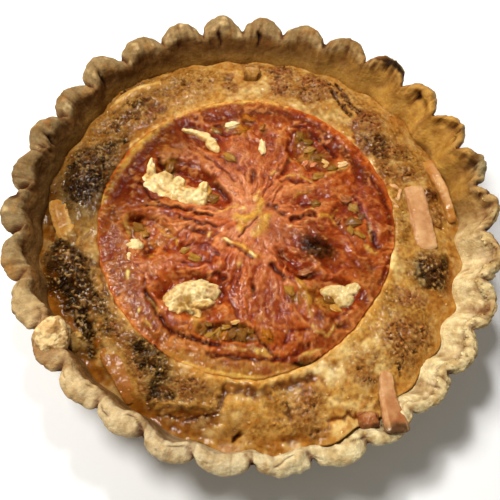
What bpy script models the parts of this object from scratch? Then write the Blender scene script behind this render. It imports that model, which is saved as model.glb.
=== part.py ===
# A small quiche: a fluted pastry case filled with set egg custard, with one large
# slice of tomato sunk in its middle, strips of ham and onion, and lumps of curd.
# Lengths are in millimetres and angles in degrees until a mesh is written, which
# MM turns into metres. The origin is under the centre, on the surface it stands on.

import math

import bmesh
import bpy
from mathutils import Vector, noise

MM = 0.001

# Driving dimensions. The case is 150 mm across the tips of its scallops.
GAP = 0.35                  # clearance between pieces that touch
SCALLOPS = 30
FIRST_SCALLOP = -17.7       # angle of one scallop's tip
COLUMNS_PER_SCALLOP = 4
COLUMNS = SCALLOPS * COLUMNS_PER_SCALLOP
RIM_RADIUS = 72.6           # mean radius of the widest line of the rim
RIM_HEIGHT = 31.2
FLUTE = 2.1                 # half the depth of the scallops at the rim
CUSTARD_EDGE = 19.5         # where the custard meets the wall
CUSTARD_TOP = 23.4          # custard beside the tomato
TOMATO_CENTRE = (-1.3, -1.5)
TOMATO_RADIUS = 45.0
TOMATO_BOTTOM = 19.6
TOMATO_TOP = 25.3
TOMATO_COLUMNS = 60

# The case's section from under the base, up the outside, over the rim and down the
# inside: height, radius less the rim's, and the share of the flutes that shows there.
CASE_SECTION = (
    (0.0, -12.8, 0.15),
    (1.3, -10.6, 0.35),
    (5.0, -8.6, 0.55),
    (24.0, -1.8, 0.95),
    (28.2, 0.0, 1.0),
    (30.4, -0.5, 0.95),
    (31.2, -2.3, 0.85),
    (30.6, -4.1, 0.8),
    (28.4, -5.1, 0.75),
    (24.0, -6.2, 0.6),
    (19.0, -7.7, 0.45),
    (10.0, -10.4, 0.25),
    (5.0, -12.6, 0.1),
    (3.8, -15.4, 0.0),
)
INSIDE_LIP = 7              # the row where the inside of the wall starts

# Swellings (height > 0) and hollows of the custard: x, y, reach, height.
CUSTARD_RELIEF = (
    (-53, 12, 8, 1.6),
    (-54, -20, 9, 1.8),
    (-25, -47, 9, 1.6),
    (-12, -52, 7, 1.6),
    (57, -9, 7, 1.2),
    (48, -33, 9, 1.9),
    (35, -41, 6, 1.0),
    (-44, 43, 8, 1.4),
    (-28, 51, 7, 1.2),
    (7, 55, 7, 1.0),
    (20, 54, 6, 1.2),
    (37, 41, 8, 1.4),
    (56, 17, 4, 0.9),
    (4, -57, 7, 1.4),
    (20, -57, 6, 1.2),
    (31, -62, 5, 2.4),
    (-43, 26, 3, -1.2),
    (1, -64, 3, -1.6),
    (57, 37, 5, -1.6),
    (62, 28, 4, -1.2),
    (64, -16, 4, -0.8),
    (-61, -6, 5, -0.8),
)

# Seed pockets of the tomato: x, y, half length, half width, turn, depth.
POCKETS = (
    (-22, 9.5, 14, 6.0, -15, 2.4),
    (18, 28, 9, 7.0, -35, 2.0),
    (-30, -7, 9, 5.5, -25, 1.9),
    (-16, -12.5, 6, 3.0, -10, 1.3),
    (-15, -24, 11, 7.0, -20, 2.3),
    (-3, -35.5, 10, 3.0, 0, 1.8),
    (15, -12, 7, 3.5, -30, 1.5),
    (7, -26, 5, 8.0, 15, 1.2),
    (26, -21, 8, 6.0, 10, 1.7),
    (28, 7, 8, 6.0, 50, 1.3),
    (13, 5, 5, 3.0, 10, 1.2),
    (-18, 28, 9, 3.5, -30, 1.3),
    (9, 33, 5, 3.0, 60, 1.0),
)

# Strips that lie in the custard: the middle line as x, y and lift over the surface,
# then half width, half thickness and the share of the width left at either end.
STRIPS = {
    "ham_strip_right": (((50.2, 18.0, 0.1), (52.6, 7.0, 0.5), (54.6, -4.2, 0.1)), 3.2, 1.6, (1.0, 0.95)),
    "ham_strip_wall": (((53.6, 28.6, 0.0), (58.0, 20.0, 0.9), (60.6, 12.0, 0.9), (61.2, 6.0, 0.0)),
                       2.1, 1.5, (0.8, 0.7)),
    "ham_strip_rim": (((42.0, -43.5, -0.2), (42.4, -49.0, 1.2), (43.2, -55.0, 4.3), (44.1, -60.6, 7.2)),
                      2.5, 1.5, (0.35, 1.0)),
    "ham_strip_glazed": (((-36.5, -43.5, 0.0), (-31.5, -50.0, 0.7), (-26.8, -56.0, 0.0)),
                         3.4, 1.6, (0.9, 0.85)),
    "onion_strip_left": (((-61.0, 3.2, -0.1), (-58.6, -4.0, 0.6), (-54.4, -10.6, 0.0)), 2.8, 1.4, (0.7, 0.8)),
    "onion_strip_top": (((-49.5, 36.6, 0.2), (-43.6, 42.0, 0.6), (-38.0, 46.6, 0.5), (-31.8, 48.8, 0.2)),
                        1.9, 1.4, (0.6, 0.6)),
}

# Lumps that lie in the custard or the tomato: x, y, lift, half sizes, turn, roughness.
LUMPS = {
    "curd_upper_left": (-21.6, 10.0, 0.8, (11.0, 4.8, 2.1), -16, 0.22),
    "curd_left": (-34.6, -12.4, 0.7, (3.6, 2.9, 2.1), 70, 0.08),
    "curd_lower_left": (-16.4, -24.2, 1.0, (8.4, 6.2, 2.2), 12, 0.22),
    "curd_lower_right": (28.4, -20.0, 0.6, (5.6, 3.0, 1.6), 16, 0.2),
    "curd_bottom": (1.8, -40.6, 0.5, (6.8, 1.7, 1.5), -6, 0.15),
    "curd_top": (-17.6, 28.4, 0.5, (7.2, 2.1, 1.5), -28, 0.15),
    "ham_bit_rim": (36.6, -58.2, 4.6, (2.8, 2.5, 2.0), 60, 0.08),
    "ham_bit_top": (-4.5, 56.3, 0.8, (2.7, 1.9, 1.9), 0, 0.06),
    "ham_bit_side": (44.2, 14.2, 0.5, (4.0, 1.8, 1.7), 76, 0.1),
    "onion_bit_left": (-48.2, -40.6, 0.6, (2.6, 2.1, 1.7), 40, 0.06),
}

ON_THE_RIM = ("ham_strip_rim", "ham_bit_rim")

# Colour (linear), roughness and metallic value of each kind of piece.
FINISHES = {
    "crust": ((0.62, 0.40, 0.18), 0.75),
    "custard": ((0.60, 0.33, 0.09), 0.42),
    "tomato": ((0.50, 0.11, 0.04), 0.28),
    "ham": ((0.52, 0.24, 0.13), 0.38),
    "onion": ((0.48, 0.33, 0.16), 0.35),
    "curd": ((0.78, 0.60, 0.30), 0.40),
}


def bell(distance, reach):
    """1 in the middle and nearly 0 past twice the reach."""
    return math.exp(-((distance / reach) ** 2))


def turn_between(angle, other):
    """The angle from one direction to another, between -180 and 180 degrees."""
    return (angle - other + 180) % 360 - 180


def ellipse_distance(x, y, shape):
    """0 at the middle of a turned ellipse, 1 on its outline."""
    centre_x, centre_y, half_length, half_width, turn = shape
    turn = math.radians(turn)
    dx, dy = x - centre_x, y - centre_y
    along = dx * math.cos(turn) + dy * math.sin(turn)
    across = dy * math.cos(turn) - dx * math.sin(turn)
    return math.hypot(along / half_length, across / half_width)


def column_angle(column):
    """The direction of a column of the case: four to a scallop, tips and notches included."""
    even = FIRST_SCALLOP + column * 360 / COLUMNS
    around = math.radians(even)
    return even + 1.1 * math.sin(around) + 0.5 * math.sin(5 * around + 0.8)


def scallop(column):
    """1 at the tip of a scallop and -1 in a notch, with round tips and narrow notches."""
    phase = 2 * math.pi * column / COLUMNS_PER_SCALLOP
    return 2 * abs(math.cos(phase / 2)) - 1


def rim_spread(angle):
    """How much further out the rim leans: it slumps at the lower right, most of all."""
    return 2.0 * bell(turn_between(angle, 310), 36) - 0.6 * bell(turn_between(angle, 240), 20)


def flute_share(angle):
    """How deep the scallops are: shallow where the rim has slumped, deep opposite."""
    return 1 - 0.35 * bell(turn_between(angle, 310), 38) + 0.15 * bell(turn_between(angle, 90), 50)


def rim_lift(angle):
    """The rim's unevenness in height, with the dip where a strip of ham crosses it."""
    around = math.radians(angle)
    uneven = 0.45 * math.sin(3 * around + 1.0) + 0.3 * math.sin(7 * around)
    return uneven - 3.2 * bell(turn_between(angle, 306.5), 5)


def case_point(column, height, inset, share):
    """A point of the case from a row of its section."""
    angle = column_angle(column)
    lean = height / RIM_HEIGHT
    radius = RIM_RADIUS + inset + rim_spread(angle) * lean ** 2
    radius += FLUTE * flute_share(angle) * share * scallop(column)
    around = math.radians(angle)
    lifted = height + rim_lift(angle) * lean ** 3
    return Vector((radius * math.cos(around), radius * math.sin(around), lifted))


def inside_point(column, height):
    """The point of the inner wall at a height, which lies on the case's own facets."""
    rows = CASE_SECTION[INSIDE_LIP:]
    upper = case_point(column, *rows[0])
    for row in rows[1:]:
        lower = case_point(column, *row)
        if height >= lower.z:
            share = (height - lower.z) / (upper.z - lower.z)
            return lower.lerp(upper, share)
        upper = lower
    return upper


def inwards(point, distance):
    """A point moved towards the upright through the origin."""
    flat = Vector((point.x, point.y, 0)).normalized()
    return point - flat * distance


def custard_height(x, y):
    """The height of the custard's top at a place."""
    radius = math.hypot(x, y)
    angle = math.degrees(math.atan2(y, x))
    edge = CUSTARD_EDGE + 2.2 * bell(turn_between(angle, 295), 35)
    slope = min(1, max(0, (radius - 50) / 16))
    height = CUSTARD_TOP + (edge - CUSTARD_TOP) * slope ** 1.5
    for centre_x, centre_y, reach, rise in CUSTARD_RELIEF:
        height += rise * bell(math.hypot(x - centre_x, y - centre_y), reach)
    return height + 0.35 * noise.noise(Vector((x, y, 0)) / 6)


def tomato_radius(angle):
    """The slice's outline about its own centre."""
    around = math.radians(angle)
    return TOMATO_RADIUS + 0.5 * math.sin(2 * around + 0.6) + 0.3 * math.sin(5 * around)


def tomato_height(x, y):
    """The height of the slice's top, with its pockets sunk in."""
    dx, dy = x - TOMATO_CENTRE[0], y - TOMATO_CENTRE[1]
    outward = math.hypot(dx, dy) / TOMATO_RADIUS
    height = TOMATO_TOP - 0.9 * outward ** 6
    for x_in, y_in, half_length, half_width, turn, depth in POCKETS:
        inside = ellipse_distance(x, y, (x_in, y_in, half_length, half_width, turn))
        height -= depth * bell(inside, 0.85)
    return height


def food_height(x, y):
    """The height of whatever shows at a place."""
    dx, dy = x - TOMATO_CENTRE[0], y - TOMATO_CENTRE[1]
    on_tomato = math.hypot(dx, dy) < TOMATO_RADIUS
    return tomato_height(x, y) if on_tomato else custard_height(x, y)


def ring_of(mesh, points):
    """A closed ring of vertices."""
    return [mesh.verts.new(point * MM) for point in points]


def skin_between(mesh, ring, following):
    """One band of faces between two rings of as many vertices."""
    count = len(ring)
    for place in range(count):
        after = (place + 1) % count
        mesh.faces.new((ring[place], ring[after], following[after], following[place]))


def close_turned(mesh, rings):
    """Skins a stack of rings, closes both ends and turns the faces outwards."""
    for ring, following in zip(rings, rings[1:]):
        skin_between(mesh, ring, following)
    mesh.faces.new(list(reversed(rings[0])))
    mesh.faces.new(rings[-1])
    bmesh.ops.recalc_face_normals(mesh, faces=mesh.faces)


def finish_material(kind):
    """The material of one kind of piece, made once and shared."""
    name = f"{kind} finish"
    if name in bpy.data.materials:
        return bpy.data.materials[name]
    colour, roughness = FINISHES[kind]
    material = bpy.data.materials.new(name)
    material.use_nodes = True
    shader = material.node_tree.nodes["Principled BSDF"]
    shader.inputs["Base Color"].default_value = (*colour, 1)
    shader.inputs["Roughness"].default_value = roughness
    shader.inputs["Metallic"].default_value = 0
    return material


def make_object(name, mesh, kind, parent):
    """Turns a bmesh into a named object with its material."""
    data = bpy.data.meshes.new(name)
    mesh.to_mesh(data)
    mesh.free()
    data.materials.append(finish_material(kind))
    data.shade_smooth()
    data.set_sharp_from_angle(angle=math.radians(50))
    made = bpy.data.objects.new(name, data)
    bpy.context.scene.collection.objects.link(made)
    made.parent = parent
    return made


def make_crust(parent):
    """The pastry case: base, fluted wall and rolled rim in one piece."""
    mesh = bmesh.new()
    rings = []
    for row in CASE_SECTION:
        rings.append(ring_of(mesh, [case_point(column, *row) for column in range(COLUMNS)]))
    close_turned(mesh, rings)
    return make_object("crust", mesh, "crust", parent)


def make_filling(parent):
    """The custard: it fills the case and holds the recess of the tomato slice."""
    mesh = bmesh.new()
    floor = CASE_SECTION[-1]
    rings = [[inwards(case_point(column, floor[0] + GAP, *floor[1:]), GAP) for column in range(COLUMNS)]]
    for height in (CASE_SECTION[-2][0] + GAP, CASE_SECTION[-3][0]):
        rings.append([inwards(inside_point(column, height), GAP) for column in range(COLUMNS)])
    edge = []
    recess = []
    for column in range(COLUMNS):
        angle = column_angle(column)
        wall = inside_point(column, CUSTARD_EDGE)
        wall = inwards(inside_point(column, custard_height(wall.x, wall.y)), GAP)
        edge.append(wall)
        around = math.radians(angle)
        reach = tomato_radius(angle) + GAP
        recess.append(Vector((TOMATO_CENTRE[0] + reach * math.cos(around),
                              TOMATO_CENTRE[1] + reach * math.sin(around), 0)))
    for share in (0, 0.2, 0.45, 0.72, 1):
        ring = []
        for outer, inner in zip(edge, recess):
            point = outer.lerp(inner, share)
            if share > 0:
                point.z = custard_height(point.x, point.y)
            ring.append(point)
        rings.append(ring)
    rings.append([Vector((point.x, point.y, TOMATO_BOTTOM - GAP)) for point in recess])
    close_turned(mesh, [ring_of(mesh, ring) for ring in rings])
    return make_object("filling", mesh, "custard", parent)


def make_tomato(parent):
    """The slice of tomato: a rounded skin edge and a top with seed pockets."""
    mesh = bmesh.new()
    rings = []
    for height, inset in ((TOMATO_BOTTOM, 1.2), (TOMATO_BOTTOM + 1.8, 0), (TOMATO_TOP - 2.0, 0)):
        ring = []
        for column in range(TOMATO_COLUMNS):
            angle = column * 360 / TOMATO_COLUMNS
            ring.append(tomato_point(angle, tomato_radius(angle) - inset, height))
        rings.append(ring_of(mesh, ring))
    for share in (0.97, 0.9, 0.81, 0.71, 0.61, 0.5, 0.38, 0.25, 0.1):
        ring = []
        for column in range(TOMATO_COLUMNS):
            angle = column * 360 / TOMATO_COLUMNS
            point = tomato_point(angle, tomato_radius(angle) * share, 0)
            point.z = tomato_height(point.x, point.y)
            ring.append(point)
        rings.append(ring_of(mesh, ring))
    close_turned(mesh, rings)
    return make_object("tomato_slice", mesh, "tomato", parent)


def tomato_point(angle, radius, height):
    """A point about the slice's own centre."""
    around = math.radians(angle)
    return Vector((TOMATO_CENTRE[0] + radius * math.cos(around),
                   TOMATO_CENTRE[1] + radius * math.sin(around), height))


def strip_mesh(path, half_width, half_thickness, ends, grow=0.0):
    """A flat strip with rounded edges along a line that follows the food's surface."""
    mesh = bmesh.new()
    line = [Vector((x, y, food_height(x, y) + lift)) for x, y, lift in path]
    steps = 2 * (len(line) - 1)
    rings = []
    for step in range(steps + 1):
        place = step / 2
        start = min(int(place), len(line) - 2)
        along = (line[start + 1] - line[start]).normalized()
        middle = line[start].lerp(line[start + 1], place - start)
        end_share = step / steps
        share = ends[0] + (1 - ends[0]) * min(1, end_share * 3)
        share = min(share, ends[1] + (1 - ends[1]) * min(1, (1 - end_share) * 3))
        if step in (0, steps):
            middle = middle + along * grow * (1 if step else -1)
        side = Vector((-along.y, along.x, 0)).normalized()
        up = along.cross(side) * -1
        up = up if up.z > 0 else -up
        ring = []
        for corner in range(8):
            around = math.radians(22.5 + 45 * corner)
            across = math.copysign(abs(math.cos(around)) ** 0.6, math.cos(around))
            over = math.copysign(abs(math.sin(around)) ** 0.6, math.sin(around))
            ring.append(middle + side * across * (half_width * share + grow)
                        + up * over * (half_thickness + grow))
        rings.append(ring_of(mesh, ring))
    close_turned(mesh, rings)
    return mesh


def lump_mesh(x, y, lift, halves, turn, roughness, grow=0.0):
    """An uneven rounded lump."""
    mesh = bmesh.new()
    bmesh.ops.create_icosphere(mesh, subdivisions=2, radius=1)
    turn = math.radians(turn)
    height = food_height(x, y) + lift
    for vertex in mesh.verts:
        way = vertex.co.normalized()
        uneven = 1 + roughness * noise.noise(way * 1.7 + Vector((x, y, 0)))
        along = way.x * (halves[0] * uneven + grow)
        across = way.y * (halves[1] * uneven + grow)
        point = Vector((x + along * math.cos(turn) - across * math.sin(turn),
                        y + along * math.sin(turn) + across * math.cos(turn),
                        height + way.z * (halves[2] * uneven + grow)))
        vertex.co = point * MM
    return mesh


def seat_in(host, cutter_name, mesh):
    """Cuts the seat of a piece out of what it lies in."""
    data = bpy.data.meshes.new(cutter_name)
    mesh.to_mesh(data)
    mesh.free()
    cutter = bpy.data.objects.new(cutter_name, data)
    bpy.context.scene.collection.objects.link(cutter)
    cutter.parent = host.parent
    cutter.hide_render = True
    cutter.display_type = "WIRE"
    cut = host.modifiers.new(cutter_name, "BOOLEAN")
    cut.operation = "DIFFERENCE"
    cut.solver = "EXACT"
    cut.object = cutter


def hosts_of(name, crust, filling, tomato):
    """What a topping is sunk in."""
    if name.startswith("curd"):
        return [tomato]
    return [filling, crust] if name in ON_THE_RIM else [filling]


def make_toppings(parent, crust, filling, tomato):
    """The strips and lumps, each with its own seat."""
    for name, (path, half_width, half_thickness, ends) in STRIPS.items():
        make_object(name, strip_mesh(path, half_width, half_thickness, ends), name.split("_")[0], parent)
        for host in hosts_of(name, crust, filling, tomato):
            seat = strip_mesh(path, half_width, half_thickness, ends, GAP)
            seat_in(host, f"seat of {name} in {host.name}", seat)
    for name, shape in LUMPS.items():
        make_object(name, lump_mesh(*shape), name.split("_")[0], parent)
        for host in hosts_of(name, crust, filling, tomato):
            seat_in(host, f"seat of {name} in {host.name}", lump_mesh(*shape, GAP))


def main():
    for old in list(bpy.data.objects):
        bpy.data.objects.remove(old)
    quiche = bpy.data.objects.new("quiche", None)
    bpy.context.scene.collection.objects.link(quiche)
    crust = make_crust(quiche)
    filling = make_filling(quiche)
    tomato = make_tomato(quiche)
    make_toppings(quiche, crust, filling, tomato)


main()
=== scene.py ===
import math
import random
import bmesh
import bpy
import numpy
import mathutils
from mathutils import Matrix, Vector


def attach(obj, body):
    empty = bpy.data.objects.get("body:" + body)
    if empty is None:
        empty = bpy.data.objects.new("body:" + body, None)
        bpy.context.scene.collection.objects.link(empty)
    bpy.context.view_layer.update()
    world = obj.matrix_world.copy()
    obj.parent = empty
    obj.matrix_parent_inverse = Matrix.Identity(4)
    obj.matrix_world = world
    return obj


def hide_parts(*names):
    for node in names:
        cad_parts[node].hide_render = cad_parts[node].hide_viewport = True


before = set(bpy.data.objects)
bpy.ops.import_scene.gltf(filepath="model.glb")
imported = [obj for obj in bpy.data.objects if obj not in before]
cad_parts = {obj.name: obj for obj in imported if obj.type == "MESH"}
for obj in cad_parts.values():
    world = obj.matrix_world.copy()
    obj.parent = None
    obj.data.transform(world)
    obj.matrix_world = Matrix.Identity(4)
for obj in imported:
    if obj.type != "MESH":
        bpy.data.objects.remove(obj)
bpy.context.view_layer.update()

mm = 0.001
random.seed(41)
drawer = numpy.random.RandomState(41)


# ---------------------------------------------------------------- numbers that bend and blend

def bell(distance, reach):
    return numpy.exp(-(distance / reach) ** 2)


def ease(value, low, high):
    share = numpy.clip((value - low) / (high - low), 0, 1)
    return share * share * (3 - 2 * share)


def aroundFrom(angle, middle):
    return (angle - middle + 180) % 360 - 180


def sine(degrees):
    return numpy.sin(numpy.radians(degrees))


def cosine(degrees):
    return numpy.cos(numpy.radians(degrees))


latticeOrder = drawer.permutation(256)
latticeSlopes = drawer.normal(size=(256, 3))
latticeSlopes /= numpy.linalg.norm(latticeSlopes, axis=1)[:, None]


def ripple(points, size, seed=0):  # a smooth random unevenness from about -1 to 1
    spots = points / numpy.array(size) + seed * 17.31
    cell = numpy.floor(spots).astype(int)
    part = spots - cell
    blend = part ** 3 * (part * (part * 6 - 15) + 10)
    total = numpy.zeros(len(points))
    for corner in ((i, j, k) for i in (0, 1) for j in (0, 1) for k in (0, 1)):
        place = (cell + corner) % 256
        index = latticeOrder[place[:, 0]] + place[:, 1]
        index = latticeOrder[index % 256] + place[:, 2]
        index = latticeOrder[index % 256]
        weight = numpy.where(corner, blend, 1 - blend).prod(axis=1)
        total += weight * (latticeSlopes[index] * (part - corner)).sum(axis=1)
    return total * 1.7


def worms(points, size, seed=0):  # rounded wandering ridges, 0 in the furrows and 1 on top
    return 1 - numpy.abs(ripple(points, size, seed)) * 2.2


def flat(x, y, z=0.0):
    return numpy.stack([x, y, numpy.full(len(x), z)], axis=1)


# ---------------------------------------------------------------- colours by name

paintStrength = numpy.array((0.64, 0.6, 0.48))


def linear(colour):
    share = numpy.array(colour, float) / 255
    return numpy.where(share < 0.0405, share / 12.92, ((share + 0.055) / 1.055) ** 2.4) * paintStrength


# colour, how wet it looks, how roasted and crisp it is
paintBox = {
    "pastry": ((216, 186, 140), 0.1, 0.3),
    "pastryCream": ((246, 224, 184), 0.08, 0.25),
    "pastryGrey": ((152, 130, 98), 0.1, 0.35),
    "pastryBrown": ((150, 98, 46), 0.2, 0.3),
    "wallBrown": ((128, 88, 40), 0.3, 0.1),
    "wallGold": ((208, 160, 80), 0.55, 0.1),
    "wallFoot": ((104, 58, 16), 0.5, 0.1),
    "burnt": ((38, 20, 10), 0.3, 0.4),
    "custard": ((226, 174, 96), 0.55, 0.25),
    "custardPale": ((250, 220, 160), 0.5, 0.1),
    "custardDeep": ((198, 130, 54), 0.7, 0.2),
    "amber": ((160, 96, 20), 0.9, 0.05),
    "amberDark": ((118, 62, 12), 0.9, 0.05),
    "cream": ((268, 252, 212), 0.4, 0.05),
    "roast": ((172, 112, 60), 0.6, 0.8),
    "roastPink": ((170, 106, 66), 0.6, 0.8),
    "roastDark": ((108, 58, 26), 0.6, 1.0),
    "roastGold": ((196, 144, 72), 0.6, 0.7),
    "char": ((66, 40, 14), 0.5, 1.0),
    "charGrey": ((112, 80, 42), 0.65, 1.0),
    "charBrown": ((90, 54, 22), 0.7, 1.0),
    "charBlack": ((26, 14, 6), 0.05, 0.9),
    "ash": ((150, 140, 115), 0.5, 0.5),
    "crack": ((58, 26, 8), 0.6, 0.2),
    "crumbAndGlintPale": ((214, 176, 120), 0.7, 0.6),
    "flesh": ((208, 108, 60), 0.6, 0.15),
    "fleshPale": ((240, 160, 118), 0.55, 0.15),
    "fleshDusty": ((176, 100, 64), 0.35, 0.3),
    "fleshRed": ((156, 54, 14), 0.75, 0.1),
    "deepRed": ((98, 24, 4), 0.6, 0.05),
    "maroon": ((94, 34, 8), 0.4, 0.15),
    "fleshTan": ((176, 106, 60), 0.6, 0.3),
    "bandTan": ((206, 146, 90), 0.5, 0.25),
    "gelAmber": ((186, 118, 28), 0.95, 0.0),
    "gelOlive": ((150, 108, 28), 0.95, 0.0),
    "gelOrange": ((214, 104, 32), 0.9, 0.0),
    "core": ((228, 178, 84), 0.5, 0.2),
    "skinCream": ((244, 206, 140), 0.5, 0.1),
    "curd": ((248, 230, 182), 0.6, 0.1),
    "curdGold": ((222, 172, 88), 0.6, 0.1),
    "seed": ((184, 142, 60), 0.8, 0.0),
    "seedDark": ((146, 102, 40), 0.8, 0.0),
    "ham": ((236, 188, 148), 0.5, 0.1),
    "hamPale": ((254, 212, 168), 0.5, 0.05),
    "hamRed": ((186, 122, 82), 0.6, 0.2),
    "hamBurnt": ((92, 66, 44), 0.6, 0.5),
    "onion": ((224, 184, 112), 0.8, 0.05),
    "onionTan": ((186, 142, 78), 0.6, 0.3),
    "pastryToast": ((182, 140, 88), 0.15, 0.4),
    "pastryDark": ((92, 58, 28), 0.1, 0.3),
    "glaze": ((206, 146, 74), 0.9, 0.1),
    "glazeDark": ((160, 100, 40), 0.9, 0.1),
}
paints = {name: numpy.append(linear(colour), (wet, crisp))
          for name, (colour, wet, crisp) in paintBox.items()}


def cover(look, mask, paint):
    look += mask[:, None] * (paints[paint] - look)


def ovalDistance(x, y, mark):
    turn = math.radians(mark[4])
    along = (x - mark[0]) * math.cos(turn) + (y - mark[1]) * math.sin(turn)
    over = (y - mark[1]) * math.cos(turn) - (x - mark[0]) * math.sin(turn)
    return numpy.hypot(along / mark[2], over / mark[3])


def lineDistance(x, y, path):
    nearest = numpy.full(len(x), 1e9)
    for (startX, startY), (endX, endY) in zip(path, path[1:]):
        runX, runY = endX - startX, endY - startY
        share = ((x - startX) * runX + (y - startY) * runY) / (runX ** 2 + runY ** 2)
        share = numpy.clip(share, 0, 1)
        nearest = numpy.minimum(nearest, numpy.hypot(x - startX - share * runX, y - startY - share * runY))
    return nearest


def layMarks(x, y, look, marks, soft=0.45):
    # an oval mark is x, y, half length, half width, turn, relief, paint, strength
    # a line mark is a path of points, half width, relief, paint, strength
    relief = numpy.zeros(len(x))
    for mark in marks:
        if isinstance(mark[0], tuple):
            distance = lineDistance(x, y, mark[0]) / mark[1]
        else:
            distance = ovalDistance(x, y, mark)
        height, paint, strength = mark[-3:]
        relief += height * numpy.exp(-1.3 * distance ** 2)
        if paint:
            cover(look, strength * ease(distance, 1 + soft, 1 - soft), paint)
    return relief


# ---------------------------------------------------------------- meshes and materials

def meshPoints(form):
    points = numpy.empty(len(form.vertices) * 3)
    form.vertices.foreach_get("co", points)
    return points.reshape(-1, 3)


def placePoints(form, points):
    form.vertices.foreach_set("co", points.ravel())
    form.update()


def outwardOf(form):
    facing = numpy.empty(len(form.vertices) * 3)
    form.vertices.foreach_get("normal", facing)
    return facing.reshape(-1, 3)


def heldValues(form, name):
    values = numpy.empty(len(form.vertices))
    form.attributes[name].data.foreach_get("value", values)
    return values


def finishPiece(form, name, look, material, nodes=()):
    colours = numpy.ones((len(form.vertices), 4))
    colours[:, :3] = numpy.clip(look[:, :3], 0.001, 1)
    tint = form.attributes.new("tint", "FLOAT_COLOR", "POINT")
    tint.data.foreach_set("color", colours.ravel())
    for column, word in ((3, "wet"), (4, "crisp")):
        share = form.attributes.new(word, "FLOAT", "POINT")
        share.data.foreach_set("value", look[:, column].copy())
    form.polygons.foreach_set("use_smooth", [True] * len(form.polygons))
    form.update()
    piece = bpy.data.objects.new(name, form)
    bpy.context.collection.objects.link(piece)
    piece.data.materials.append(material)
    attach(piece, "root")
    if nodes:
        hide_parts(*nodes)
    print(name, len(form.polygons), "faces")
    return piece


def asMesh(shape, name):
    bmesh.ops.recalc_face_normals(shape, faces=shape.faces)
    form = bpy.data.meshes.new(name)
    shape.to_mesh(form)
    shape.free()
    return form


def paintShadeAndRidgeLight(form, look, reach, dark, pale, keep=1.0):
    # painted shade in creases and painted light on ridges: each point against the height of the points around it
    points = meshPoints(form) / mm
    outward = outwardOf(form)
    ends = numpy.empty(len(form.edges) * 2, dtype=numpy.int32)
    form.edges.foreach_get("vertices", ends)
    first, second = ends.reshape(-1, 2).T
    count = numpy.bincount(first, minlength=len(points)) + numpy.bincount(second, minlength=len(points)) + 1
    smooth = points.copy()
    for turn in range(reach):
        total = smooth.copy()
        for axis in range(3):
            total[:, axis] += numpy.bincount(first, smooth[second, axis], len(points))
            total[:, axis] += numpy.bincount(second, smooth[first, axis], len(points))
        smooth = total / count[:, None]
    proud = ((points - smooth) * outward).sum(axis=1)
    proud *= keep
    look[:, :3] *= numpy.clip(1 + numpy.where(proud > 0, pale, dark) * proud, 0.3, 1.4)[:, None]
    look[:, 1:3] *= numpy.clip(1 + 0.4 * numpy.where(proud > 0, 0, dark) * proud, 0.5, 1)[:, None]


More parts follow.
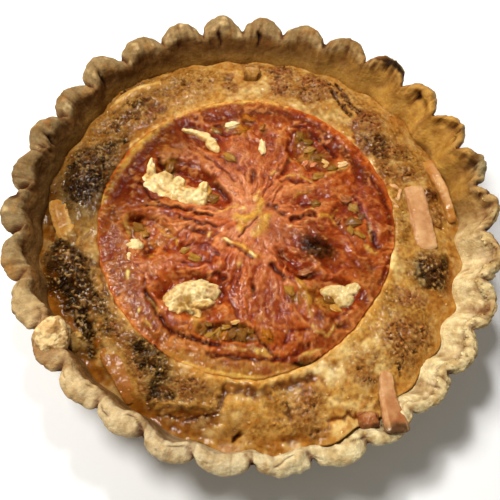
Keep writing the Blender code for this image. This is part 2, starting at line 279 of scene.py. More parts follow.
def bakedMaterial(name, parts):
    material = bpy.data.materials.new(name)
    material.use_nodes = True
    nodes, links = material.node_tree.nodes, material.node_tree.links
    shader = nodes["Principled BSDF"]

    def add(kind, inputs=(), **settings):
        node = nodes.new(kind)
        for key, value in settings.items():
            setattr(node, key, value)
        for key, value in dict(inputs).items():
            if isinstance(value, bpy.types.NodeSocket):
                links.new(value, node.inputs[key])
            else:
                node.inputs[key].default_value = value
        return node

    def sums(operation, first, second, third=0.0):
        return add("ShaderNodeMath", {0: first, 1: second, 2: third}, operation=operation).outputs[0]

    def mixed(share, first, second, blend="MIX"):
        node = add("ShaderNodeMix", data_type="RGBA", blend_type=blend)
        for key, value in ((0, share), (6, first), (7, second)):
            if isinstance(value, bpy.types.NodeSocket):
                links.new(value, node.inputs[key])
            else:
                node.inputs[key].default_value = value
        return node.outputs[2]

    def held(word, output="Fac"):
        return add("ShaderNodeAttribute", attribute_name=word).outputs[output]

    def between(value, low, high, start=0.0, end=1.0):
        node = add("ShaderNodeMapRange", {0: value, 1: low, 2: high, 3: start, 4: end},
                   interpolation_type="SMOOTHSTEP")
        return node.outputs[0]

    place = add("ShaderNodeTexCoord").outputs["Object"]

    def noise(size, detail=3.0, rough=0.6):
        return add("ShaderNodeTexNoise", {"Vector": place, "Scale": 1 / (size * mm), "Detail": detail,
                                          "Roughness": rough}).outputs["Fac"]

    crisp, wet = held("crisp"), held("wet")
    mottle, grain = noise(parts["mottle"]), noise(parts["grain"], 4.0, 0.7)
    cells = add("ShaderNodeTexVoronoi", {"Vector": place, "Scale": 1 / (parts["cell"] * mm)},
                feature="SMOOTH_F1").outputs["Distance"]
    colour = held("tint", "Color")
    darker = tuple(parts["darker"]) + (1,)
    paler = tuple(parts["paler"]) + (1,)
    colour = mixed(between(mottle, 0.35, 0.7), colour, mixed(1.0, colour, darker, "MULTIPLY"))
    colour = mixed(between(grain, 0.5, 0.8, 0, parts["palerShare"]), colour,
                   mixed(1.0, colour, paler, "MULTIPLY"))
    # painted shade: on crisp places the low pits of the grain, which also drives the bump, go near-black; the pale
    # flecks are partly painted glints
    pits = sums("MULTIPLY", crisp, between(grain, 0.52, 0.3))
    colour = mixed(sums("MULTIPLY", pits, parts["pits"]), colour, (0.012, 0.006, 0.003, 1))
    paleFlecksAndGlints = sums("MULTIPLY", crisp, between(noise(parts["fleck"], 2.0), 0.6, 0.72))
    colour = mixed(sums("MULTIPLY", paleFlecksAndGlints, parts["paleFlecksAndGlints"]), colour, mixed(1.0, colour, (2.9, 2.7, 2.3, 1), "MULTIPLY"))
    links.new(colour, shader.inputs["Base Color"])

    dullness = sums("MULTIPLY_ADD", wet, -parts["sheen"], parts["dull"])
    dullness = sums("MULTIPLY_ADD", between(mottle, 0.3, 0.7), 0.12, dullness)
    links.new(add("ShaderNodeMath", {0: dullness, 1: 0.08}, operation="MAXIMUM").outputs[0],
              shader.inputs["Roughness"])
    links.new(sums("MULTIPLY", wet, parts["coat"]), shader.inputs["Coat Weight"])
    shader.inputs["Coat Roughness"].default_value = parts["coatRough"]
    shader.inputs["Coat IOR"].default_value = 1.33
    shader.inputs["Specular IOR Level"].default_value = parts["shine"]
    shader.inputs["Subsurface Weight"].default_value = parts["soak"]
    shader.inputs["Subsurface Radius"].default_value = parts["soakReach"]
    shader.inputs["Subsurface Scale"].default_value = 1 * mm

    fineBump = add("ShaderNodeBump", {"Strength": 1.0, "Distance": parts["glintBump"] * mm,
                                      "Height": noise(parts["glint"], 1.0)})
    links.new(fineBump.outputs[0], shader.inputs["Coat Normal"])
    height = sums("MULTIPLY", grain, sums("MULTIPLY_ADD", crisp, parts["crispBump"], parts["bump"]))
    height = sums("MULTIPLY_ADD", mottle, parts["mottleBump"], height)
    height = sums("MULTIPLY_ADD", cells, sums("MULTIPLY_ADD", crisp, parts["cellBump"], 0.02), height)
    bump = add("ShaderNodeBump", {"Strength": 1.0, "Distance": 1 * mm, "Height": height})
    links.new(bump.outputs[0], shader.inputs["Normal"])
    return material


crustFinish = {"mottle": 3.6, "grain": 0.8, "cell": 1.1, "fleck": 0.7, "darker": (0.72, 0.62, 0.5),
               "paler": (1.22, 1.22, 1.2), "palerShare": 0.9, "pits": 0.6, "paleFlecksAndGlints": 0.4, "sheen": 0.4,
               "dull": 0.8, "coat": 0.25, "coatRough": 0.15, "shine": 0.1, "soak": 0.1,
               "soakReach": (1.6, 0.9, 0.5), "bump": 0.3, "crispBump": 0.5, "mottleBump": 0.5, "cellBump": 0.2,
               "glint": 1.2, "glintBump": 0.2}
custardFinish = {"mottle": 2.2, "grain": 0.7, "cell": 0.9, "fleck": 0.55, "darker": (0.78, 0.62, 0.42),
                 "paler": (1.22, 1.24, 1.2), "palerShare": 0.8, "pits": 0.6, "paleFlecksAndGlints": 0.8, "sheen": 0.42,
                 "dull": 0.7, "coat": 0.9, "coatRough": 0.06, "shine": 0.0, "soak": 0.06,
                 "soakReach": (2.2, 1.2, 0.5), "bump": 0.14, "crispBump": 0.45, "mottleBump": 0.3,
                 "cellBump": 0.3, "glint": 0.7, "glintBump": 0.13}
tomatoFinish = {"mottle": 1.9, "grain": 0.55, "cell": 0.8, "fleck": 0.6, "darker": (0.8, 0.58, 0.44),
                "paler": (1.16, 1.24, 1.22), "palerShare": 0.8, "pits": 0.5, "paleFlecksAndGlints": 0.5, "sheen": 0.4,
                "dull": 0.66, "coat": 0.8, "coatRough": 0.05, "shine": 0.0, "soak": 0.06,
                "soakReach": (3.0, 1.0, 0.4), "bump": 0.14, "crispBump": 0.35, "mottleBump": 0.25,
                "cellBump": 0.2, "glint": 0.7, "glintBump": 0.13}
hamFinish = {"mottle": 2.4, "grain": 0.5, "cell": 0.8, "fleck": 0.6, "darker": (0.86, 0.72, 0.6),
             "paler": (1.12, 1.14, 1.12), "palerShare": 0.8, "pits": 0.5, "paleFlecksAndGlints": 0.4, "sheen": 0.4,
             "dull": 0.62, "coat": 0.6, "coatRough": 0.08, "shine": 0.05, "soak": 0.1,
             "soakReach": (2.4, 1.0, 0.6), "bump": 0.12, "crispBump": 0.35, "mottleBump": 0.2,
             "cellBump": 0.2, "glint": 1.2, "glintBump": 0.15}
curdFinish = {"mottle": 1.7, "grain": 0.6, "cell": 1.2, "fleck": 0.6, "darker": (0.92, 0.84, 0.66),
              "paler": (1.14, 1.18, 1.2), "palerShare": 0.9, "pits": 0.4, "paleFlecksAndGlints": 0.3, "sheen": 0.4,
              "dull": 0.66, "coat": 0.9, "coatRough": 0.08, "shine": 0.15, "soak": 0.25,
              "soakReach": (2.4, 1.6, 0.8), "bump": 0.2, "crispBump": 0.3, "mottleBump": 0.45,
              "cellBump": 0.25, "glint": 1.0, "glintBump": 0.2}
crustMaterial = bakedMaterial("bakedPastry", crustFinish)
custardMaterial = bakedMaterial("bakedCustard", custardFinish)
tomatoMaterial = bakedMaterial("roastTomato", tomatoFinish)
hamMaterial = bakedMaterial("roastHam", hamFinish)
curdMaterial = bakedMaterial("meltedCurd", curdFinish)
print("materials ready")


# ---------------------------------------------------------------- the pastry case

crust = {
    "lobes": 30, "firstLobe": -17.7, "radius": 72.6, "height": 31.2, "flute": 2.1,
    "columns": 900,
    # height, radius less the rim's, share of the flutes, how round the flutes are
    "section": [
        (0.0, -12.8, 0.15, 0), (1.3, -10.6, 0.35, 0), (5.0, -8.6, 0.55, 0), (12.0, -6.2, 0.75, 0),
        (18.0, -4.0, 0.9, 0), (24.0, -1.8, 1.0, 0), (27.0, -0.4, 1.1, 0), (28.9, 0.15, 1.15, 0),
        (30.4, -0.35, 1.1, 0.1), (31.2, -1.5, 1.0, 0.3), (31.35, -2.7, 0.95, 0.5), (30.9, -3.9, 0.9, 0.7),
        (29.9, -4.7, 0.85, 0.9), (28.4, -5.2, 0.8, 1), (26.4, -5.8, 0.7, 1), (24.0, -6.4, 0.6, 1),
        (19.0, -7.7, 0.45, 1), (10.0, -10.4, 0.25, 1), (5.0, -12.6, 0.1, 1), (3.8, -15.4, 0.0, 1)],
    # how many rows each stretch of the section gets
    "rows": [2, 4, 7, 7, 7, 5, 4, 4, 4, 4, 4, 4, 4, 5, 5, 9, 6, 3, 2],
}


def lobeTurns(angle):  # how many lobes have been passed at this angle
    even = angle - crust["firstLobe"]
    shift = 1.1 * sine(angle) + 0.5 * sine(5 * angle + 45.8)
    return (even - shift) * crust["lobes"] / 360


def rimSpread(angle):
    return (2.0 * bell(aroundFrom(angle, 310), 36) - 0.6 * bell(aroundFrom(angle, 240), 20)
            + 0.8 * bell(aroundFrom(angle, 341), 5) - 0.8 * bell(aroundFrom(angle, 155), 12)
            + 0.9 * bell(aroundFrom(angle, 138), 5) - 0.9 * bell(aroundFrom(angle, 246), 5)
            - 0.6 * bell(aroundFrom(angle, 209), 5) + 1.2 * bell(aroundFrom(angle, 262), 40)
            - 0.6 * bell(aroundFrom(angle, 95), 50) - 0.7 * bell(aroundFrom(angle, 180), 35))


def wallShift(angle):  # the inside of the case isn't round either
    return (3.2 * bell(aroundFrom(angle, 285), 32) - 4.0 * bell(aroundFrom(angle, 85), 42)
            - 1.5 * bell(aroundFrom(angle, 155), 12) - 0.8 * bell(aroundFrom(angle, 185), 25))


def fluteShare(angle):
    return (1.0 - 0.35 * bell(aroundFrom(angle, 310), 38) - 0.3 * bell(aroundFrom(angle, 245), 32) + 0.15 * bell(aroundFrom(angle, 90), 50))


def rimLift(angle):
    return (0.45 * sine(3 * angle + 57.3) + 0.3 * sine(7 * angle)
            - 3.2 * bell(aroundFrom(angle, 306.5), 5) - 1.6 * bell(aroundFrom(angle, 268), 45)
            - 1.0 * bell(aroundFrom(angle, 90), 50))


def rimFlare(angle):  # where the wall opens wide towards a thin edge
    return numpy.clip(bell(aroundFrom(angle, 338), 42) + 1.0 * bell(aroundFrom(angle, 37), 28), 0, 1)


def smoothSection(section, rows):
    values = numpy.array(section, float)
    padded = numpy.vstack([values[:1], values, values[-1:]])
    found = []
    for index, count in enumerate(rows):
        before, start, end, after = padded[index:index + 4]
        for t in numpy.arange(count) / count:
            found.append(0.5 * (2 * start + (end - before) * t + (2 * before - 5 * start + 4 * end - after) * t ** 2
                                + (3 * start - before - 3 * end + after) * t ** 3))
    found.append(values[-1])
    return numpy.array(found)


def turnedForm(name, columns, line):
    # line is a list of (radius, height) from the bottom's middle to the top's; each vertex keeps its row's number
    shape = bmesh.new()
    bmesh.ops.create_grid(shape, x_segments=columns, y_segments=len(line) - 1, size=1)
    row = shape.verts.layers.float.new("row")
    for vertex in shape.verts:
        index = round((vertex.co.y + 1) / 2 * (len(line) - 1))
        angle = (vertex.co.x + 1) * math.pi
        radius, height = line[index]
        vertex[row] = index
        vertex.co = (radius * math.cos(angle), radius * math.sin(angle), height)
    bmesh.ops.remove_doubles(shape, verts=shape.verts, dist=1e-6)
    return asMesh(shape, name)


sectionRows = smoothSection(crust["section"], crust["rows"])
crustLine = [(0.0, 0.0), (30.0, 0.0), (55.0, 0.0)]
crustLine += [(crust["radius"] + inset, height) for height, inset, *_ in sectionRows]
crustLine += [(40.0, 3.8), (0.0, 3.8)]
caseForm = turnedForm("crustShell", crust["columns"], [(r * mm, h * mm) for r, h in crustLine])
casePoints = meshPoints(caseForm) / mm
caseRow = numpy.rint(heldValues(caseForm, "row")).astype(int)
caseAngle = numpy.degrees(numpy.arctan2(casePoints[:, 1], casePoints[:, 0])) % 360
wallRow = numpy.clip(caseRow - 3, 0, len(sectionRows) - 1)
onWall = (caseRow >= 3) & (caseRow < 3 + len(sectionRows))
height, inset, share, inner = sectionRows[wallRow].T
lean = numpy.clip(height / crust["height"], 0, 1.02)
turns = lobeTurns(caseAngle)
lobe = numpy.rint(turns).astype(int) % crust["lobes"]
within = turns - numpy.rint(turns)  # -0.5 to 0.5 across one lobe
hump = numpy.cos(math.pi * within) ** 2
farSide = ease(cosine(caseAngle - 110), -0.35, 0.45)
leftSide = bell(aroundFrom(caseAngle, 185), 45)
nearSide = bell(aroundFrom(caseAngle, 262), 42)
flare = rimFlare(caseAngle)
twist = 0.34 * leftSide * inner * lean ** 4 + 0.16 * nearSide * inner * lean ** 6
phase = math.pi * (turns + twist)
lobed = 2 * numpy.abs(numpy.cos(phase)) ** 0.6 - 1
waved = numpy.cos(2 * phase)
flute = lobed * (1 - inner) + waved * inner * (1 - 0.6 * farSide + 0.5 * flare - 0.55 * nearSide)
lobeSize = drawer.uniform(-1, 1, crust["lobes"])
lobeTall = drawer.uniform(-1, 1, crust["lobes"])
lobeFat = drawer.uniform(-1, 1, crust["lobes"])
topMost = ease(height, 20, 30)
inset = inset + flare * inner * 2.6 * ease(height, 20, 29.5)
inset = inset - 0.9 * (lobeFat[lobe] - 0.2) * hump * inner * topMost
radius = (crust["radius"] + inset + rimSpread(caseAngle) * lean ** 2
          + crust["flute"] * fluteShare(caseAngle) * share * flute + 0.5 * lobeSize[lobe] * hump * lean ** 4)
rise = height + rimLift(caseAngle) * lean ** 3 - (0.35 + 0.9 * farSide) * (1 - lobed) * (1 - 0.6 * inner) * lean ** 8
rise += (0.9 * lobeTall[lobe] * hump + 0.5 * hump - 0.4) * lean ** 8
ball = bell(numpy.hypot(radius * cosine(caseAngle) + 54.5, radius * sine(caseAngle) + 44), 5.5) * topMost
rise -= 1.2 * ball
inset = inset - 2.4 * ball * inner
radius -= 2.2 * ball * inner
radius += wallShift(caseAngle) * inner * ease(height, 31, 21)
points = numpy.stack([radius * cosine(caseAngle), radius * sine(caseAngle), rise], axis=1)
casePoints[onWall] = points[onWall]
placePoints(caseForm, casePoints * mm)
facing = outwardOf(caseForm)
crest = ease(height, 22, 28) * onWall
lumpy = (0.45 * ripple(casePoints, 5.5, 1) + 0.26 * ripple(casePoints, 2.6, 2) + 0.1 * ripple(casePoints, 1.3, 3)
         + 0.06 * ripple(casePoints, 0.7, 4))
around = numpy.radians(caseAngle) * 72
fan = ripple(numpy.stack([around / 1.5, casePoints[:, 2] / 9, numpy.hypot(casePoints[:, 0], casePoints[:, 1]) / 9], axis=1), 1, 5)
fan = fan + 0.6 * ripple(numpy.stack([around / 0.8, casePoints[:, 2] / 7, casePoints[:, 0] / 20], axis=1), 1, 6)
seamWander = 0.52 + 0.2 * numpy.sin(2 * math.pi * turns + 0.6) + 0.1 * ripple(flat(around, height * 0), 4, 7)
seam = bell(inner - seamWander, 0.06) * topMost * ease(nearSide + 0.3 * leftSide, 0.15, 0.5)
seam = seam * ease(ripple(flat(around, height * 0), 7, 71), -0.15, 0.25)
slit = (bell(within - 0.08 - 0.05 * ripple(casePoints, 3, 84), 0.05) * bell(height - 28.8, 2.6) * ease(inner, 0.3, 0.8)
        * ease(cosine(caseAngle - 110), 0.0, 0.5) * (lobeFat[lobe] > -0.1))
layer = bell(height - 27.6 - 0.7 * ripple(flat(around, height * 0), 3, 8), 0.5) * (1 - inner) * ease(inset, -1.5, 0)
crumbly = ease(cosine(caseAngle - 345), 0.6, 0.95) * crest * bell(inner - 0.2, 0.25)
push = lumpy * (0.3 + 0.7 * crest) + fan * crest * ease(height, 26, 29.5) * (0.16 + 0.2 * farSide * inner + 0.14 * leftSide + 0.2 * flare)
foldLine = ripple(numpy.stack([around / 3.4, height / 9, height * 0], axis=1), 1, 72) - 0.5 * numpy.cos(2 * phase)
foldLine = foldLine + 0.35 * ripple(numpy.stack([around / 1.3, height / 5, height * 0], axis=1), 1, 73)
rightWall = bell(aroundFrom(caseAngle, 335), 48) * ease(inner, 0.4, 0.9) * ease(height, 19, 23)
push = push + 0.4 * rightWall * foldLine - 0.3 * seam - 1.3 * slit - 0.45 * layer * crest + crumbly * 0.35 * (worms(casePoints, 1.6, 9) - 0.3)
notch = ease(numpy.abs(within + twist), 0.4, 0.5)
push = push - 0.5 * notch * crest * (1 - inner)
casePoints += facing * (push * onWall)[:, None]
placePoints(caseForm, casePoints * mm)

caseLook = numpy.tile(paints["pastry"], (len(casePoints), 1))
cloud, speck = ripple(casePoints, 4.5, 81), ripple(casePoints, 1.6, 82)
# the crest is paler cream on the near side and greyer on the far side: partly the pastry's own browning, partly painted
# light near and painted shade far
cover(caseLook, 0.8 * crest * bell(aroundFrom(caseAngle, 275), 80), "pastryCream")
cover(caseLook, 0.9 * crest * ease(cosine(caseAngle - 120), -0.3, 0.45), "pastryGrey")
cover(caseLook, 0.4 * crest * bell(aroundFrom(caseAngle, 35), 22), "pastryToast")
cover(caseLook, 0.5 * crest * ease(cosine(caseAngle - 350), 0.6, 0.95) * (1 - inner), "pastryGrey")
cover(caseLook, 0.75 * crest * ease(cloud + 0.5 * speck, 0.3, 0.8), "pastryToast")
cover(caseLook, 0.55 * crest * ease(ripple(casePoints, 3.2, 83) + 0.4 * speck, 0.3, 0.75), "pastryCream")
openEdge = bell(aroundFrom(caseAngle, 38), 27)
innerWall = onWall * numpy.maximum(ease(inner, 0.7, 1) * ease(height, 30.2, 27.8), 0.9 * openEdge * ease(inner, 0.25, 0.5))
# the inside wall: oily brown all round; gold on the upper right and on the far wall's lower part and cream on the lower
# right, partly the wall's own colour and partly painted light; browner on the left and dark at the far foot against the
# custard, painted shade
cover(caseLook, innerWall * 0.97, "wallBrown")
cover(caseLook, innerWall * bell(aroundFrom(caseAngle, 38), 30), "wallGold")
cover(caseLook, innerWall * 0.5 * ease(height, 26, 22) * farSide, "wallGold")
cover(caseLook, innerWall * ease(aroundFrom(caseAngle, 312), -65, -40) * ease(aroundFrom(caseAngle, 312), 62, 40), "pastryCream")
cover(caseLook, innerWall * 0.55 * ease(aroundFrom(caseAngle, 200), -50, -20) * ease(aroundFrom(caseAngle, 200), 65, 30), "pastryToast")
cover(caseLook, innerWall * 0.85 * ease(height, 21.6, 20) * ease(cosine(caseAngle - 120), -0.6, 0.3), "wallFoot")
cover(caseLook, innerWall * 0.5 * ease(fan, 0.2, 0.9), "pastryToast")
cover(caseLook, 0.4 * crest * ease(fan, -0.1, -0.9) * (0.4 + 0.6 * ease(farSide + flare, 0.2, 0.8)), "pastryBrown")
# painted shade: darker where the surface is pushed in, between the lobes, along the seams and slits, in the folds of
# the right wall and in the groove under the top layer
cover(caseLook, 0.8 * ease(push, -0.35, -1.2) * crest, "pastryDark")
cover(caseLook, 0.55 * notch * crest * (1 - 0.4 * inner), "pastryBrown")
cover(caseLook, ease(0.8 * seam + 1.2 * slit, 0.35, 1.0), "pastryDark")
cover(caseLook, 0.6 * rightWall * ease(foldLine, 0.0, -0.9), "pastryToast")
cover(caseLook, 0.6 * layer * crest, "pastryDark")
cover(caseLook, 0.5 * ease(height, 16, 2) * (1 - inner), "pastryBrown")
edgeOut = crest * (1 - inner) * bell(aroundFrom(caseAngle, 345), 42)
cover(caseLook, 0.75 * edgeOut * ease(cloud + 0.4 * speck, -0.2, 0.4), "pastryGrey")
cover(caseLook, 0.5 * edgeOut * ease(speck, 0.2, 0.7), "pastryDark")
crestMarks = [  # burnt and browned places on the rim, and painted shade and a painted highlight on the round lobe at the near left: x, y, half length, half width, turn, relief, paint, strength
    (((-67.5, 29.5), (-70, 26), (-70.5, 22.5)), 0.9, -0.8, "burnt", 0.9), (-66, 24, 1.2, 3, 20, 0, "pastryBrown", 0.7),
    (-73, 14, 1.6, 1.6, 0, -0.8, "burnt", 0.9), (-72.5, 20, 2.2, 1.1, 60, -0.6, "burnt", 0.7),
    # the wide brown mark on the round lobe at (-54, -44) is partly painted shade
    (-71.5, -2, 1.8, 1.4, 0, -0.6, "pastryDark", 0.9), (-64.5, -38, 2, 0.9, -50, -0.4, "pastryDark", 0.7), (-54, -44, 7.4, 7.4, 0, -0.5, "pastryBrown", 0.75),
    (-68, -26, 3.5, 2.5, -60, 0, "pastryToast", 0.9), (-67, -30, 1.4, 1.4, 0, 0, "pastryBrown", 0.6),
    (40, 60, 5.5, 1.4, -30, -0.5, "burnt", 0.95), (44.5, 57.5, 3, 1.3, -40, -0.4, "burnt", 0.9),
    (36, 63, 4, 1.5, -25, 0, "pastryBrown", 0.8), (64.5, 35, 2.0, 0.9, 60, 0, "hamBurnt", 0.7),
    (67, 42, 1.6, 0.8, 60, 0, "pastryBrown", 0.7), (54.5, 50.5, 2.0, 0.7, -45, 0, "pastryBrown", 0.7),
    (70, 22, 3.5, 2.4, 70, 0.3, "ash", 0.8), (67.5, 25, 2.2, 1.4, 60, -0.3, "pastryDark", 0.8),
    (72, 14, 2.4, 1.4, 70, -0.3, "pastryDark", 0.6), (73.5, -3, 2.2, 1.6, 80, 0, "pastryBrown", 0.7),
    # the cream spot at (-57.5, -41) is a painted highlight on the round lobe's top
    (69.5, -24, 2.4, 1.6, 60, 0, "pastryBrown", 0.7), (-57.5, -41, 3.4, 3.4, 0, 0.0, "pastryCream", 0.7),
    (-55.5, -44.5, 2.6, 2, 20, 0, "pastryToast", 0.6), (8, -74, 3, 1.4, 0, 0, "pastryToast", 0.6),
]
marked = numpy.zeros(len(casePoints))
upper = casePoints[:, 2] > 26
crestLook = caseLook.copy()
marked = layMarks(casePoints[:, 0] + 0.6 * speck, casePoints[:, 1] + 0.6 * cloud, crestLook, crestMarks)
caseLook[upper] = crestLook[upper]
casePoints[:, 2] += marked * upper
placePoints(caseForm, casePoints * mm)
# painted light towards the lower right; painted shade on the near and left sides and on the far side, most of all on
# the far inside wall; the 1.3 lifts the whole case
paintedLight = bell(aroundFrom(caseAngle, 318), 55)[:, None] * (0.15, 0.35, 0.55)
caseLook[:, :3] *= 1.3 + paintedLight + nearSide[:, None] * (-0.36, -0.34, -0.2) - 0.3 * leftSide[:, None]
caseLook[:, :3] *= 1 - (0.12 * farSide + 0.25 * farSide * innerWall * (1 - openEdge))[:, None]
# painted shade in the case's creases and painted light on its ridges
paintShadeAndRidgeLight(caseForm, caseLook, 10, 1.5, 0.8)
finishPiece(caseForm, "crustShell", caseLook, crustMaterial, ["crust"])


# ---------------------------------------------------------------- the filling

filling = {"columns": 1000, "edgeHeight": 19.5, "topHeight": 23.4, "ringStart": 40.0, "rings": 78}
reliefSpots = [
    (-53, 12, 8, 1.6), (-54, -20, 9, 1.8), (-25, -47, 9, 1.6), (-12, -52, 7, 1.6), (57, -9, 7, 1.2),
    (48, -33, 9, 1.9), (35, -41, 6, 1.0), (-44, 43, 8, 1.4), (-28, 51, 7, 1.2), (7, 55, 7, 1.0),
    (20, 54, 6, 1.2), (37, 41, 8, 1.4), (56, 17, 4, 0.9), (4, -57, 7, 1.4), (20, -57, 6, 1.2),
    (31, -62, 5, 2.4), (-43, 26, 3, -1.2), (1, -64, 3, -1.6), (57, 37, 5, -1.6), (62, 28, 4, -1.2),
    (64, -16, 4, -0.8), (-61, -6, 5, -0.8)]


tomato = {"x": -1.3, "y": -1.5, "radius": 45.0, "top": 25.3, "bottom": 19.6, "cells": 290}


def tomatoRadius(angle):
    return (tomato["radius"] + 0.5 * numpy.sin(2 * angle + 0.6) + 0.3 * numpy.sin(5 * angle)
            + 3.4 * bell(aroundFrom(numpy.degrees(angle), -86), 32)
            + 0.5 * ripple(flat(numpy.cos(angle) * 45, numpy.sin(angle) * 45), 5, 29))


def custardHeight(x, y):
    radius = numpy.hypot(x, y)
    angle = numpy.degrees(numpy.arctan2(y, x))
    edge = filling["edgeHeight"] + 2.2 * bell(aroundFrom(angle, 295), 35)
    slope = numpy.clip((radius - 50) / 16, 0, 1)
    level = filling["topHeight"] + (edge - filling["topHeight"]) * slope ** 1.5
    for spotX, spotY, reach, lift in reliefSpots:
        level = level + lift * bell(numpy.hypot(x - spotX, y - spotY), reach)
    return level + 0.35 * ripple(flat(x, y), 6, 9)


def wallInside(angle):  # the radius of the case's inside at the custard's edge
    waves = numpy.cos(2 * math.pi * lobeTurns(angle))
    return (crust["radius"] - 7.6 + rimSpread(angle) * 0.4 + wallShift(angle) + crust["flute"] * fluteShare(angle) * 0.45 * waves)


fillingLine = [(0.0, 5.0), (58.0, 5.0), (62.0, 12.0), (64.0, 17.0)]
fillingLine += [(65 - 25 * i / filling["rings"], 22.0) for i in range(filling["rings"] + 1)]
fillingLine += [(36.0, 20.0), (20.0, 20.0), (0.0, 20.0)]
fillForm = turnedForm("custard", filling["columns"], [(r * mm, h * mm) for r, h in fillingLine])
fillPoints = meshPoints(fillForm) / mm
fillRow = numpy.rint(heldValues(fillForm, "row")).astype(int)
fillAngle = numpy.degrees(numpy.arctan2(fillPoints[:, 1], fillPoints[:, 0])) % 360
onTop = (fillRow >= 4) & (fillRow <= 4 + filling["rings"])
share = numpy.clip(1 - (fillRow - 4) / filling["rings"], 0, 1)
radius = filling["ringStart"] + share * (wallInside(fillAngle) + 0.7 - filling["ringStart"])
x = numpy.where(onTop, radius * cosine(fillAngle), fillPoints[:, 0])
y = numpy.where(onTop, radius * sine(fillAngle), fillPoints[:, 1])

